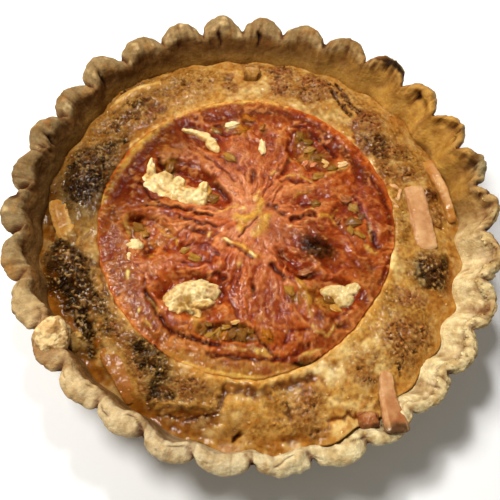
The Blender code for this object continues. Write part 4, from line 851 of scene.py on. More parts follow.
tomatoPockets = [
    (-22, 9.5, 14, 6, -15, -2.2), (17.5, 26, 8.5, 7, -35, -1.6), (-30, -8, 9, 5.5, -25, -1.5),
    (-15, -13.2, 6, 3, -10, -0.8), (-15.5, -26, 10, 7, -15, -2.0), (-3, -36.5, 10, 3, 0, -1.4),
    (14, -13.5, 7, 3.3, -35, -0.8), (26, -22, 7, 5.5, 10, -1.3),
    (29, 4, 6, 5, 50, -0.9), (-18, 27, 9, 3.5, -30, -1.0), (-8, 32, 6, 3, 20, -0.8)]
tomatoMarks = [
    # the outer wall of the slice
    (((-44, -5), (-42, -13), (-38, -20), (-33, -28), (-27, -35), (-18, -41.5)), 4.6, 0.1, "fleshTan", 0.9),
    (((-18, -43), (-8, -46.4), (3, -47.2), (14, -45.5)), 3.0, 0.25, "bandTan", 1.0),
    (((-15, -46.2), (-6, -48.4), (4, -48.8), (12, -47.6)), 0.6, 0.2, "skinCream", 0.7), (-2, -45.5, 4, 1.0, 0, 0, "fleshDusty", 0.7), (8, -46, 3, 1.1, 0, 0, "hamRed", 0.6),
    (((35, 16), (38, 10), (40, 4), (41, -2)), 3.2, 0, "fleshRed", 0.5),
    (((34, -12), (37, -17), (37, -22)), 2.8, 0.05, "fleshTan", 0.7),
    (((38, -22), (35, -27), (31, -32), (26, -36), (20, -39.5)), 2.4, 0.15, "fleshDusty", 0.8),
    (((-20, 36.8), (-13, 38.8), (-5, 40.6), (3, 41)), 1.5, 0.05, "fleshDusty", 0.85),
    (((-41.5, 4), (-39.5, 10), (-37.5, 15), (-33.5, 22), (-29, 27.5), (-25, 31.5), (-19, 33.8), (-13, 35.2),
      (-6, 37.6), (0, 38.6), (8, 38.6), (14, 37.4), (20, 33.8), (25, 29.3), (29, 25.3), (33, 21), (35, 17.5)),
     2.0, -0.35, "maroon", 0.75),
    (-38.5, 7.5, 5, 3.2, 80, -0.3, "maroon", 0.85), (-38, 14, 2.5, 3, 0, -0.2, "maroon", 0.7),
    (-34, 3.5, 5, 2.4, -40, -0.2, "maroon", 0.6), (-42, -2, 2, 3, 0, 0.0, "maroon", 0.7),
    (((-44.3, 2), (-42.3, 9), (-39.6, 16), (-35.6, 23), (-30.6, 29), (-26, 33.4), (-20, 35.8)),
     0.7, 0.1, "fleshTan", 0.8),
    (((-45.9, 1.5), (-44.3, 6), (-42.5, 12), (-39.8, 18.5), (-36.8, 24), (-32, 29.6), (-28, 34.3), (-22, 37.9),
      (-15, 40.6), (-7, 42.6), (1, 43.8), (8, 42.4)), 1.0, 0.12, "skinCream", 0.8),
    (((10, 40.4), (15, 39), (20, 36.6), (25, 33), (29, 28.5), (33, 25), (35, 22)), 0.9, 0.15, "gelOrange", 0.85),
    (((36, 20), (39, 14), (41.5, 8), (43.2, 2), (43.3, -3)), 0.8, -0.16, "deepRed", 0.8),
    (((42.6, -8), (41.5, -13), (39.8, -17)), 0.9, -0.16, "deepRed", 0.9),
    (((40.2, -23), (38.3, -28), (35, -32), (31, -36)), 1.0, -0.24, "deepRed", 0.92),
    (-34, 12, 6, 14, -35, 0, "fleshRed", 0.6), (-24, 31, 9, 3, 30, 0, "fleshRed", 0.5), (-26, 24, 6.5, 4.2, 35, 0.1, "fleshDusty", 0.8), (-40, -8, 3, 4, 0, 0.0, "fleshDusty", 0.6),
    # the thick ribs out from the core, and the furrows beside them
    (((-28, 20.5), (-20, 19.2), (-13, 15.5), (-6, 9.5), (-1, 4)), 2.7, 0.45, "fleshPale", 0.7),
    (((-24, 26.5), (-18, 21.5), (-12, 17.5), (-6, 12)), 0.5, -0.28, "fleshRed", 0.8),
    (((-22, 23), (-15, 18.8), (-9, 14.5)), 0.3, -0.2, "fleshRed", 0.7),
    (((-36, -0.5), (-28, 0.2), (-20, -0.8), (-12, -2.2), (-5, -3)), 1.2, 0.3, "flesh", 0.85),
    (((-30, 2.8), (-22, 2.2), (-15, 2.8), (-9, 1.6), (-5, 3)), 0.8, 0.25, "fleshPale", 0.6),
    (((-37, -1.8), (-31, -2.2), (-25, -2.2)), 1.2, 0.15, "fleshDusty", 0.6),
    (((-22, -1.9), (-15, -3.2), (-11, -3.8)), 0.6, -0.4, "deepRed", 0.85),
    (((-32, 0.9), (-26, 1.6), (-19, 0.6), (-12, -0.4)), 0.6, -0.48, "maroon", 0.9),
    (((-26, -22), (-18, -20.2), (-10, -17.2), (-4, -12)), 2.0, 0.35, "flesh", 0.8),
    (((-21, -19.6), (-14, -17.8), (-9, -16)), 0.35, 0.12, "fleshPale", 0.85),
    (((-22, -21), (-15, -19.6), (-8, -18.2)), 0.35, 0.1, "fleshPale", 0.7),
    (((8, 10), (13, 11.8), (18, 11.5)), 1.7, 0.3, "fleshPale", 0.8),
    (((8.5, 13.8), (10, 14.6), (15, 14)), 0.8, -0.56, "fleshRed", 0.9),
    (((9, 15.7), (14, 16.4), (18, 14.3)), 0.4, 0.2, "core", 0.8),
    (((11, 7.5), (13.5, 9.6), (18, 11)), 0.4, 0.15, "core", 0.7),
    (((5, 31), (8, 33), (11, 34.5)), 0.6, 0.2, "fleshPale", 0.8),
    (((5.5, 31), (7, 28), (8, 25.5)), 0.4, 0.15, "gelOrange", 0.8),
    (((6.5, -1), (10, -2.5), (14.5, -4.5)), 0.4, 0.15, "fleshPale", 0.95),
    (8, -3.5, 6, 3.4, -25, 0.0, "fleshDusty", 0.75), (5.5, 26.5, 3, 3.5, 0, 0.2, "fleshDusty", 0.6),
    (((3, 7.5), (5, 12.5)), 0.3, -0.28, "fleshRed", 0.75), (((6, 6), (8.5, 12)), 0.3, -0.24, "fleshRed", 0.65),
    (((5.6, 12.5), (4.2, 15.5)), 0.3, -0.24, "fleshRed", 0.6), (((-0.5, 8.5), (1, 12), (0, 16)), 0.3, -0.16, "fleshRed", 0.5),
    # the left pockets
    (((-26.5, 17.6), (-19, 15.6), (-13.5, 12.5), (-9.5, 8.5), (-8, 5)), 1.1, -0.56, "deepRed", 0.85),
    (-19, 12.8, 5, 2.4, -25, -0.5, "fleshRed", 0.9), (-9.5, 4.6, 2.8, 2.3, 0, -0.8, "fleshRed", 0.92),
    (-30.2, 16.6, 2.3, 0.9, -60, -1.2, "deepRed", 0.97), (-27, 15.2, 1.8, 3, 10, 0.4, "gelOlive", 0.95),
    (((-35.5, 8.5), (-31.8, 4.4), (-29, 2.3)), 0.5, -0.48, "maroon", 0.95),
    (((-10, 1.6), (-6.5, 2.4), (-5, 4)), 0.35, 0.12, "core", 0.8),
    (-35, -3.8, 2.4, 1.4, 10, -0.9, "deepRed", 0.97),
    (((-38.5, -3.5), (-37, -6.5), (-36, -9.5)), 0.6, 0.15, "skinCream", 0.75),
    (-33.5, -7, 2.7, 2.0, -15, 0.6, "gelOlive", 0.97), (-33.2, -7.7, 1.5, 1.0, -20, 0.0, "seedDark", 0.8),
    (-26.5, -8, 3.6, 2.7, -30, 0.6, "gelOrange", 0.92), (-28, -10.5, 3, 1.5, 20, 0.3, "gelAmber", 0.9),
    (-26, -6, 3, 1, -15, 0.2, "gelOlive", 0.7), (((-26.5, -7.5), (-22, -9), (-21, -11)), 0.4, 0.2, "core", 0.9),
    (-30, -14, 1.8, 2.2, 0, -0.7, "deepRed", 0.85), (-26.5, -13.5, 2.5, 1.3, -20, 0.4, "gelOrange", 0.85),
    (-29, -15.5, 1.2, 0.8, 0, 0.2, "core", 0.6), (-24, -4.6, 4, 1.5, -20, 0.3, "fleshPale", 0.45),
    (-16, -5.9, 3.6, 1.1, -15, -0.8, "deepRed", 0.92),
    (-14.5, -13.4, 4.5, 2.4, -5, 0.4, "flesh", 0.6),
    (((-20, -11), (-17, -9.7), (-12, -10.3), (-8.5, -12.8)), 0.7, -0.56, "fleshRed", 0.97),
    (((-18.5, -16.5), (-15, -17.2), (-11, -16)), 0.7, -0.4, "fleshRed", 0.9),
    (((-36.5, -12), (-35.5, -17), (-31, -19.5), (-29.5, -24)), 0.5, -0.24, "fleshRed", 0.6),
    (((-14, -20.6), (-8, -18.9), (-6.6, -20)), 0.9, -0.8, "deepRed", 0.92),
    (-6.8, -22.8, 1.3, 3.6, -5, -0.9, "deepRed", 0.85),
    (((-29, -19.5), (-26.5, -22.5), (-24.5, -26)), 1.4, -0.48, "fleshRed", 0.88),
    (-27.2, -25, 2.2, 1.5, 20, 0.5, "fleshPale", 0.6),
    (((-29, -26), (-26.5, -29.5), (-24.5, -33), (-21.5, -36.3), (-17, -38.6), (-12, -39.6), (-6, -40)),
     0.9, -0.9, "deepRed", 0.95),
    (((-28, -27.5), (-26.3, -30), (-23.8, -32)), 0.4, 0.15, "skinCream", 0.7),
    (((-27.5, -35.5), (-23.5, -38.7), (-18, -41.2), (-12, -42.4)), 1.2, 0.3, "fleshTan", 0.8),
    (-26.4, -36.3, 1.6, 0.5, -40, 0.3, "skinCream", 0.6),
    (-17, -36.4, 3.5, 1.2, -10, 0.3, "fleshDusty", 0.8), (-10.5, -30.8, 2.2, 1.8, 0, 0.4, "fleshTan", 0.85),
    (-13, -33.5, 2, 2.8, 15, 0.5, "curdGold", 0.75),
    # the row of dark seeds and the wet lens at the bottom
    (-3, -36.6, 8.5, 2.4, -3, -0.4, "seedDark", 0.85), (-0.3, -36, 2.3, 2.7, 0, 0.5, "seedDark", 0.95),
    (3, -36.5, 1.8, 1.6, -20, 0.4, "gelOlive", 0.9), (7.5, -36.8, 2.2, 2, -40, 0.6, "gelAmber", 0.92),
    (((4, -35.5), (6, -38.5), (9.3, -42)), 0.45, -0.48, "maroon", 0.92),
    (-8, -40.5, 4, 0.9, -5, -0.5, "maroon", 0.9), (0, -41.3, 5.6, 1.3, -3, 0.3, "fleshDusty", 0.9),
    (0.5, -41.2, 4, 0.6, -4, 0.2, "skinCream", 0.65), (5.6, -41.1, 2.8, 1.1, -15, 0.2, "skinCream", 0.9),
    (((-9, -43.2), (-2, -43.7), (5, -43.5), (11, -42.9)), 0.7, -0.4, "deepRed", 0.8),
    (7, -47, 2.3, 1.5, 0, 0.2, "fleshDusty", 0.9), (((14.5, -47), (17, -46.1), (19.5, -45.2)), 0.7, 0.1, "cream", 0.9),
    (23, -41.2, 2.6, 1, 15, 0.0, "maroon", 0.6), (((14, -42.3), (18, -40.8), (23, -39.5)), 0.7, 0.25, "skinCream", 0.6),
    (18.5, -42.9, 3.1, 1.3, 15, -0.2, "charGrey", 0.9), (16.6, -43.6, 1.7, 0.8, 15, -0.2, "charBlack", 0.95),
    (19, -43.2, 2, 0.5, 20, 0.0, "charBlack", 0.7),
    # the core
    (((2.4, 6.5), (2.2, 3), (0, 0.6), (-2, -0.4), (-4.5, -0.2)), 1.0, 0.3, "core", 0.92),
    (((-2, -0.4), (-3.3, -4)), 1.2, 0.25, "core", 0.9), (((4.3, 1.2), (3.5, -1.5), (1.5, -5)), 1.4, 0.25, "core", 0.92),
    (((1.8, 0.6), (-1, -3), (-3.5, -6.5)), 0.3, -0.4, "deepRed", 0.6),
    (((-7.3, -8), (-4, -9), (-1, -10), (2.5, -12.3)), 0.7, 0.4, "core", 0.9),
    (-6.3, -8.3, 1.4, 0.6, -15, 0.3, "cream", 0.9), (1.4, -11.8, 1.2, 0.6, -40, 0.3, "cream", 0.9),
    (((-6, -9.6), (-2, -11), (1.5, -13.2)), 0.6, -0.4, "fleshRed", 0.7),
    (((5, 4.8), (7, 4.3), (9, 2.6)), 1.1, -0.72, "maroon", 0.85), (8.7, 3.7, 1.4, 0.8, 0, 0.7, "fleshPale", 0.95),
    (-0.8, 14.6, 0.9, 2.5, -5, -0.9, "deepRed", 0.85),
    # the top, with its gel and seeds
    (-20.5, 28.5, 4, 0.9, -20, 0.2, "gelAmber", 0.7), (-14, 30.2, 2.6, 0.9, -10, 0.2, "gelOlive", 0.8),
    (-14, 31.7, 2.6, 0.7, 20, -0.6, "deepRed", 0.9), (-6, 31.5, 3.5, 2.6, 10, 0.5, "gelAmber", 0.9),
    (-9.5, 32.7, 2.7, 1.3, 25, 0.6, "skinCream", 0.85), (-4.3, 35.6, 2.6, 1.2, -20, 0.5, "gelAmber", 0.92),
    (-9, 20.2, 2.6, 1.2, -25, 0.2, "gelOlive", 0.55), (1.5, 31, 0.8, 2.3, -30, -0.2, "seedDark", 0.6),
    (0.6, 33, 1, 1.1, 0, 0.3, "gelAmber", 0.8), (5, 37, 4.3, 1.6, 10, 0.2, "fleshDusty", 0.9),
    (11.5, 36.8, 1.4, 0.9, 0, 0.3, "fleshPale", 0.85),
    (((11, 34.6), (15, 34.7), (19, 31.6), (23, 27.5), (25.5, 24.5)), 0.7, -0.48, "deepRed", 0.88),
    (((14, 36), (18, 33.4), (22, 29.6)), 0.8, 0.2, "fleshRed", 0.7),
    (14, 30.5, 3.4, 2.7, -30, 0.3, "gelOlive", 0.92), (13.5, 24, 2.3, 5, 10, 0.1, "gelAmber", 0.92),
    (18.5, 24.5, 3.6, 2.4, 20, 0.2, "gelOlive", 0.97), (21.5, 20.7, 3.5, 1.5, 30, 0.6, "gelOlive", 0.85),
    (19, 19.5, 3, 1.2, 0, -0.3, "fleshRed", 0.8), (13.5, 18.8, 2, 2.2, -30, 0.4, "gelOrange", 0.6),
    (((22.5, 17.6), (25, 18.8), (28, 21)), 0.7, 0.25, "skinCream", 0.8),
    (((13, 33.8), (10.5, 32), (9.5, 28), (10.5, 24), (9.5, 19), (8, 16.8)), 0.9, -0.64, "fleshRed", 0.92),
    (9.8, 22, 0.6, 2.5, 0, 0.0, "gelOlive", 0.6),
    # the right
    (14.5, 7, 3.6, 2.2, 30, -0.9, "fleshRed", 0.97), (16.6, 6.6, 2, 1.2, 30, -0.3, "deepRed", 0.85),
    (((11.7, 0.8), (14, 1.9), (19, 3.3)), 0.8, -0.88, "deepRed", 0.98),
    (18, 0.9, 2, 0.5, 15, 0.4, "skinCream", 0.6), (20.6, -0.7, 1.6, 0.6, -30, 0.4, "skinCream", 0.7),
    (((16, 4.2), (18.5, 4.8)), 0.4, 0.2, "skinCream", 0.7), (21.5, 1.2, 3.5, 2.2, 10, -0.4, "fleshRed", 0.8),
    (((21, 3.2), (24, 3), (25.5, 1)), 0.6, 0.2, "core", 0.85), (((24, 3), (26, 5.5)), 0.4, 0.15, "core", 0.8),
    (22, 10, 5, 2.3, 20, -0.2, "fleshRed", 0.6), (25.5, 16.8, 4, 2.3, 20, 0.2, "flesh", 0.8),
    (((31.5, 10.6), (33.8, 7), (35.5, 3), (36.3, 0)), 0.6, -0.48, "fleshRed", 0.92),
    (((35.8, 2), (36.6, -1), (37.2, -4.5)), 0.45, 0.15, "skinCream", 0.7),
    (28.3, 0.3, 2, 2, 0, 0.4, "fleshTan", 0.6), (31.5, -1.2, 2.2, 0.9, -20, 0.3, "gelAmber", 0.75),
    (32.5, 19, 1.5, 2.5, 20, -0.2, "deepRed", 0.6), (26.5, 2.5, 1.6, 2.2, 0, 0.2, "flesh", 0.7),
    (36.8, -6.5, 1.9, 0.8, -30, 0.3, "skinCream", 0.92), (38.5, -4.8, 1.2, 2, 40, -0.6, "deepRed", 0.92),
    (((37.3, -1), (37.6, -3.5)), 0.7, -0.4, "deepRed", 0.92), (37.2, -12.5, 1.5, 1.3, 0, -0.5, "hamRed", 0.8),
    (33, -9, 3, 2, -20, 0.0, "fleshRed", 0.5), (28, -13.5, 5, 1.8, 10, 0.0, "fleshRed", 0.5),
    # the burnt spot and the pockets below it
    (19.8, -6.8, 6.4, 5.0, -30, 0.2, "maroon", 0.92), (18, -3.2, 3, 1.6, 0, 0.0, "fleshDusty", 0.5),
    (24, -8, 1.4, 3, 20, 0.0, "maroon", 0.8), (20.4, -8.2, 4.6, 3.5, -25, 0.5, "charBlack", 0.98), (21.5, -8.6, 1.8, 1.2, -25, 0.3, "charBrown", 0.8),
    (((9.8, -10.6), (13, -13), (17, -15.5)), 2.0, -0.72, "fleshRed", 0.97),
    (((9.5, -10.4), (11.5, -12)), 1.1, -0.4, "deepRed", 0.8),
    (18.3, -17, 4, 1.7, 10, -0.9, "deepRed", 0.92), (17.6, -15.6, 2, 1, 20, 0.5, "hamRed", 0.8),
    (((7, -14.8), (9, -16.5), (11, -18.5)), 1.0, -1, "deepRed", 0.98),
    (((9, -13.5), (12, -16), (15, -19)), 0.7, 0.2, "fleshRed", 0.6), (8, -12.6, 2, 0.9, -30, 0.4, "fleshPale", 0.7),
    (8, -27, 4.5, 8, -20, -0.4, "fleshRed", 0.75), (2.3, -22.6, 1.1, 2.3, 10, -0.9, "deepRed", 0.97),
    (((8.5, -18), (11, -24), (14, -29), (18, -33)), 1.2, 0.17, "flesh", 0.75),
    (((12, -25), (16, -29.5), (19, -32)), 0.35, 0.12, "fleshPale", 0.8),
    (14.5, -24.6, 2, 1.3, -30, 0.3, "gelOlive", 0.85),
    (((15.5, -18.8), (17.5, -21.5), (19, -25)), 0.9, 0.25, "core", 0.9),
    (((16, -22.5), (18.5, -26), (19.5, -30)), 0.4, 0.17, "core", 0.85),
    (20.3, -21.5, 1.5, 2.2, 20, 0.3, "gelAmber", 0.8), (24, -25.5, 3.5, 2, -10, 0.3, "curdGold", 0.7),
    (23.5, -31, 3.1, 3.6, 10, 0.9, "fleshDusty", 0.85), (22.5, -29, 2, 1.3, 0, -0.2, "maroon", 0.65),
    (((20, -32), (22, -34.3), (25, -34.6), (26.4, -31.5)), 0.5, 0.2, "skinCream", 0.7),
    (((34.5, -20.5), (32, -24), (30, -27.5), (26.5, -30)), 0.9, -0.48, "fleshRed", 0.88),
    (28.5, -31.3, 1.5, 1, 30, -0.5, "charBlack", 0.75), (36.7, -22, 2.2, 1, 0, -0.3, "maroon", 0.65),
    (15, -36, 5, 2.6, 20, 0.1, "fleshRed", 0.5), (18.5, -38.4, 2.3, 1, 25, -0.5, "deepRed", 0.8),
    (((12.5, -37.8), (14, -35), (19, -33.5)), 0.7, -0.4, "fleshRed", 0.85),
    (((9.5, -43.3), (13.5, -42.5), (17, -40), (20, -38.2)), 0.8, -0.4, "fleshRed", 0.92),
    (((-1.5, -24.5), (1, -28), (2.5, -31), (4, -34)), 0.35, 0.23, "gelOrange", 0.92),
    (((-3.6, -17.8), (-3.8, -22)), 1.0, -0.48, "fleshRed", 0.85), (((-1.8, -17.3), (-2, -21.5)), 0.4, -0.32, "fleshRed", 0.8),
    (((-6, -24.5), (-3, -28), (-1.5, -31.5)), 0.7, -0.24, "fleshRed", 0.6),
    (((-8, -30.5), (-5.5, -28), (-4, -30.5), (-6, -32.5)), 0.4, 0.2, "gelOrange", 0.7),
    # dry flakes lying on the flesh
    (1, 7, 0.8, 1.4, -20, 0.35, "skinCream", 0.9), (1.4, 9.1, 0.9, 0.4, 20, 0.2, "skinCream", 0.8),
    (-3, 3, 1.2, 0.8, -20, 0.35, "skinCream", 0.9), (-12.4, -7, 0.9, 1.5, -15, 0.4, "skinCream", 0.9),
    (6, 16.3, 1.1, 0.6, 30, 0.3, "skinCream", 0.7), (-2.6, -15.6, 0.9, 1, 0, 0.4, "skinCream", 0.8),
    (-35, -22, 0.5, 1.2, 0, 0.35, "cream", 0.9), (12, -1.2, 0.6, 0.5, 0, 0.3, "cream", 0.8),
    (-29.7, -32.5, 0.4, 0.9, 0, 0.3, "cream", 0.8),
]
tomatoForm = discForm("tomatoSlice", tomato["cells"])
square = meshPoints(tomatoForm)
level = heldValues(tomatoForm, "level")
u, v = roundedSquare(square)
outward = numpy.hypot(u, v)
angle = numpy.arctan2(v, u)
reach = tomatoRadius(angle)
x = tomato["x"] + reach * u
y = tomato["y"] + reach * v
tomatoLook = numpy.tile(paints["flesh"], (len(square), 1))
cover(tomatoLook, 0.75 * bell(numpy.hypot(x, y + 1), 17), "fleshPale")
wander = 0.7 * ripple(flat(x, y), 3, 31), 0.7 * ripple(flat(x, y), 3, 32)
wx, wy = x + wander[0], y + wander[1]
relief = numpy.zeros(len(x))
for pocket in tomatoPockets:
    distance = ovalDistance(wx, wy, pocket)
    relief += pocket[5] * ease(distance, 1.15, 0.7)
    cover(tomatoLook, 0.8 * ease(distance, 1.15, 0.85), "fleshRed")
relief += layMarks(wx, wy, tomatoLook, tomatoMarks, 0.65)
fromCore = numpy.arctan2(y - 2, x)
fromCore += 0.14 * ripple(flat(x, y), 9, 43) + 0.05 * ripple(flat(x, y), 2.5, 44)
fibres = numpy.stack([numpy.cos(fromCore) * 7, numpy.sin(fromCore) * 7, numpy.hypot(x, y - 2) / 7], axis=1)
fibre = (ripple(fibres, 1, 33) + 0.5 * ripple(fibres * (2.4, 2.4, 1), 1, 34)) * ease(numpy.hypot(x, y), 1, 16)
streak = ripple(fibres * (4.5, 4.5, 2.2), 1, 40) * ease(numpy.hypot(x, y), 4, 14) * (0.35 + 0.65 * ease(ripple(flat(x, y), 8, 45), -0.3, 0.4))
relief += 0.35 * fibre + 0.12 * streak + 0.2 * ripple(flat(x, y), 1.9, 35) + 0.1 * ripple(flat(x, y), 0.8, 39)
top = tomato["top"] - 0.9 * outward ** 6 + relief
side = ease(level, 0, 4)
z = top - (top - tomato["bottom"]) * level / 4
bulge = 1 + 0.012 * numpy.sin(math.pi * level / 4) * (level > 0)
x = tomato["x"] + (x - tomato["x"]) * bulge
y = tomato["y"] + (y - tomato["y"]) * bulge
placePoints(tomatoForm, numpy.stack([x, y, z], axis=1) * mm)
mottle = ripple(flat(x, y), 1.4, 36) + 0.6 * ripple(flat(x, y), 0.8, 37)
threads = fibre + (0.8 * mottle + 0.7 * streak) * (0.4 + 0.6 * ease(numpy.hypot(x, y), 6, 18))
spared = numpy.maximum(ease(tomatoLook[:, 0], 0.1, 0.05), ease(tomatoLook[:, 2], 0.09, 0.13))
bare = (1 - 0.85 * ease(y, -42.3, -44.5)) * (1 - 0.8 * spared)
cover(tomatoLook, bare * 0.7 * ease(threads, 0.15, 0.9), "fleshPale")
cover(tomatoLook, bare * 0.75 * ease(threads, -0.05, -0.8), "fleshRed")
cover(tomatoLook, bare * 0.35 * ease(ripple(flat(x, y), 5, 38), 0.1, 0.6), "fleshRed")
leftFlesh = bell(numpy.hypot(x + 42, y - 6), 13) + bell(numpy.hypot(x + 30, y - 26), 10)
fleshHeart = bell(numpy.hypot(x, y + 1), 19)[:, None]
tomatoLook[:, :3] *= numpy.array((0.82, 0.87, 0.58)) + fleshHeart * numpy.array((0.2, 0.22, 0.5)) - 0.3 * numpy.clip(leftFlesh, 0, 1)[:, None] * bare[:, None]
tomatoLook[:, 3] *= 1 - 0.6 * numpy.clip(leftFlesh, 0, 1)
# painted shade in the slice's hollows and painted light on its ridges
paintShadeAndRidgeLight(tomatoForm, tomatoLook, 10, 2.2, 1.2)
finishPiece(tomatoForm, "tomatoSlice", tomatoLook, tomatoMaterial, ["tomato_slice"])


# ---------------------------------------------------------------- melted curds and small lumps

def finder(points, keep):
    held = points[keep]
    tree = mathutils.kdtree.KDTree(len(held))
    for index, (x, y, z) in enumerate(held):
        tree.insert((x, y, 0), index)
    tree.balance()
    names = numpy.flatnonzero(keep)

    def find(x, y):  # the height of the surface there, and the number of its point
        index = tree.find((x, y, 0))[1]
        return held[index][2], names[index]
    return find


tomatoPoints = meshPoints(tomatoForm) / mm
onTomato = finder(tomatoPoints, level == 0)
onCustard = finder(fillPoints, onTop)


def lumpPiece(name, node, slot, material, ground, base, ovals, marks=(), soft=4, lumpy=0.5, cells=96, squares=2):
    # ovals are x, y, half length, half width, turn, height above the base; the lump is all of them melted together
    centreX = sum(oval[0] for oval in ovals) / len(ovals)
    centreY = sum(oval[1] for oval in ovals) / len(ovals)
    reach = max(math.hypot(oval[0] - centreX, oval[1] - centreY) + max(oval[2:4]) for oval in ovals) * 1.12
    form = discForm(name, cells)
    square = meshPoints(form)
    level = heldValues(form, "level")
    x, y = centreX + reach * square[:, 0], centreY + reach * square[:, 1]
    wx = x + 0.35 * ripple(flat(x, y), 1.8, 51) + 0.15 * ripple(flat(x, y), 0.8, 52)
    wy = y + 0.35 * ripple(flat(x, y), 1.8, 53) + 0.15 * ripple(flat(x, y), 0.8, 54)
    total = numpy.zeros(len(x))
    for oval in ovals:
        turn = math.radians(oval[4])
        along = (wx - oval[0]) * math.cos(turn) + (wy - oval[1]) * math.sin(turn)
        over = (wy - oval[1]) * math.cos(turn) - (wx - oval[0]) * math.sin(turn)
        far = (numpy.abs(along / oval[2]) ** squares + numpy.abs(over / oval[3]) ** squares) ** (1 / squares)
        total += numpy.exp(5 * oval[5] * (1 - numpy.minimum(far, 1.6) ** soft))
    lift = numpy.log(total) / 5
    look = numpy.tile(paints[ground], (len(x), 1))
    folds = worms(flat(x, y) + 0.4 * ripple(flat(x, y), 1.6, 58)[:, None], (2.4, 1.7, 1), 55)
    if slot == "curd":
        cover(look, 0.55 * ease(folds + 0.8 * ripple(flat(x, y), 3, 60), 0.35, -0.4), "curdGold")
        cover(look, 0.6 * ease(lift, 0.6, -0.3), "curdGold")
        cover(look, 0.5 * ease(ripple(flat(x, y), 1.4, 59), 0, 0.5), "cream")
    relief = layMarks(wx, wy, look, marks)
    relief += lumpy * (0.3 * folds + 0.5 * ripple(flat(x, y), 1.6, 56) + 0.2 * ripple(flat(x, y), 0.7, 57))
    top = base + 0.42 + numpy.maximum(lift, -2.5) * numpy.where(lift > 0, 0.72 if slot == "curd" else 0.8, 1) + relief * ease(lift, -0.5, 0.5)
    z = top - (top - base + 3.5) * level / 4
    placePoints(form, numpy.stack([x, y, z], axis=1) * mm)
    # painted shade in the lump's hollows and painted light on its ridges
    paintShadeAndRidgeLight(form, look, 6, 1.8, 0.9, (level == 0) * 1.0)
    return finishPiece(form, name, look, material, [node])


lumpPiece("curdUpperLeft", "curd_upper_left", "curd", curdMaterial, "curd", 23.7, [
    (-33, 15.4, 1.4, 3.4, 0, 1.2), (-31.2, 9.2, 4.6, 3.6, -20, 1.2), (-26.5, 7, 5, 3.9, -5, 1.3),
    (-21.5, 6.3, 4.6, 3.3, 5, 1.2), (-16.9, 6, 2.6, 3.3, 0, 1.2), (-15.8, 9.6, 1.4, 2.2, -10, 1.3),
    (-28.3, 11.6, 2.8, 2.2, -30, 1.1), (-24, 10.4, 2, 2.3, 0, 1.1)], [
    (-33.5, 11.4, 1.3, 1.6, 0, 0.0, "curdGold", 0.5), (-22, 8.8, 1, 2.2, -30, 0.2, "curdGold", 0.75),
    (-27.6, 11.8, 2.5, 1.3, -20, 0.0, "seed", 0.5), (-19.6, 9.2, 1.9, 1.2, 0, 0.2, "fleshPale", 0.6),
    (-28, 6.8, 3, 0.8, -35, -0.3, "curdGold", 0.5), (-24, 4.4, 3, 1.2, 0, 0.0, "curdGold", 0.4),
    (-33, 7.8, 2.2, 0.9, -50, 0.4, "cream", 0.9), (-17.8, 6.6, 1.4, 1.8, 0, 0.3, "cream", 0.9),
    (-28.2, 5.6, 1, 0.6, 40, 0.3, "cream", 0.9), (-34.7, 10.5, 0.6, 1, 0, 0.2, "cream", 0.9)], lumpy=0.7)
lumpPiece("curdLeft", "curd_left", "curd", curdMaterial, "curd", 23.8, [
    (-34.4, -12.4, 2.7, 2.5, 0, 1.5), (-34.6, -15.6, 2.3, 2.3, 0, 1.2)], [
    (-34.8, -14.2, 2, 0.35, 0, -0.3, "curdGold", 0.6), (-34, -12, 1.6, 1.4, 0, 0.2, "cream", 0.8)], lumpy=0.4)
lumpPiece("curdLowerLeft", "curd_lower_left", "curd", curdMaterial, "curd", 23.5, [
    (-16, -25.4, 6.2, 3.6, 20, 1.4), (-20.9, -28.8, 2.9, 3.8, -10, 1.2), (-13.5, -24, 3.6, 2.8, 30, 1.4),
    (-9.6, -24.3, 2.5, 2.4, 0, 1.2), (-12, -28.4, 3.5, 1.4, 10, 1.6), (-13.4, -32.3, 1.6, 2.8, 10, 1.2),
    (-17.6, -29.5, 3.2, 3, 0, 0.99)], [
    (-17.4, -31, 2.8, 2.8, 0, -0.4, "curdGold", 0.85), (-12.5, -30, 3.4, 3, 0, 0.0, "curdGold", 0.6),
    # the near-black spot at (-16.1, -32.6) is painted shade in a hole in the curd
    (-22.8, -26.4, 1.2, 2.4, -20, 0.0, "curdGold", 0.75), (-16.1, -32.6, 2.4, 1.5, 30, -1.2, "burnt", 0.97),
    (-17.3, -28.1, 2.1, 1.8, 20, 0.5, "seed", 0.95), (-9.6, -24.6, 1.6, 1.8, 0, -0.2, "fleshDusty", 0.4),
    (-14.5, -24.3, 3.2, 1.4, 20, 0.2, "cream", 0.7), (-20.6, -30.6, 1.6, 1.6, 0, 0.2, "cream", 0.7),
    (((-16.5, -29.8), (-15, -31.5)), 0.5, 0.5, "curd", 0.7), (((-17.8, -30.5), (-18.6, -32)), 0.4, 0.4, "curd", 0.6),
    (-12.2, -27.4, 2.6, 0.6, 10, 0.2, "cream", 0.7)], lumpy=0.75)
lumpPiece("curdLowerRight", "curd_lower_right", "curd", curdMaterial, "curd", 24.0, [
    (27, -20.9, 4.6, 1.9, 5, 0.93), (31.6, -19.6, 3.2, 1.8, 40, 0.99), (29.2, -22.8, 2.8, 2.6, 0, 0.93),
    (24.4, -20.9, 1.9, 0.8, 0, 0.81)], [
    (26, -22.6, 2, 0.7, 0, 0.0, "curdGold", 0.6), (30, -21.6, 2.2, 1, 30, 0.2, "cream", 0.8)], lumpy=0.4)
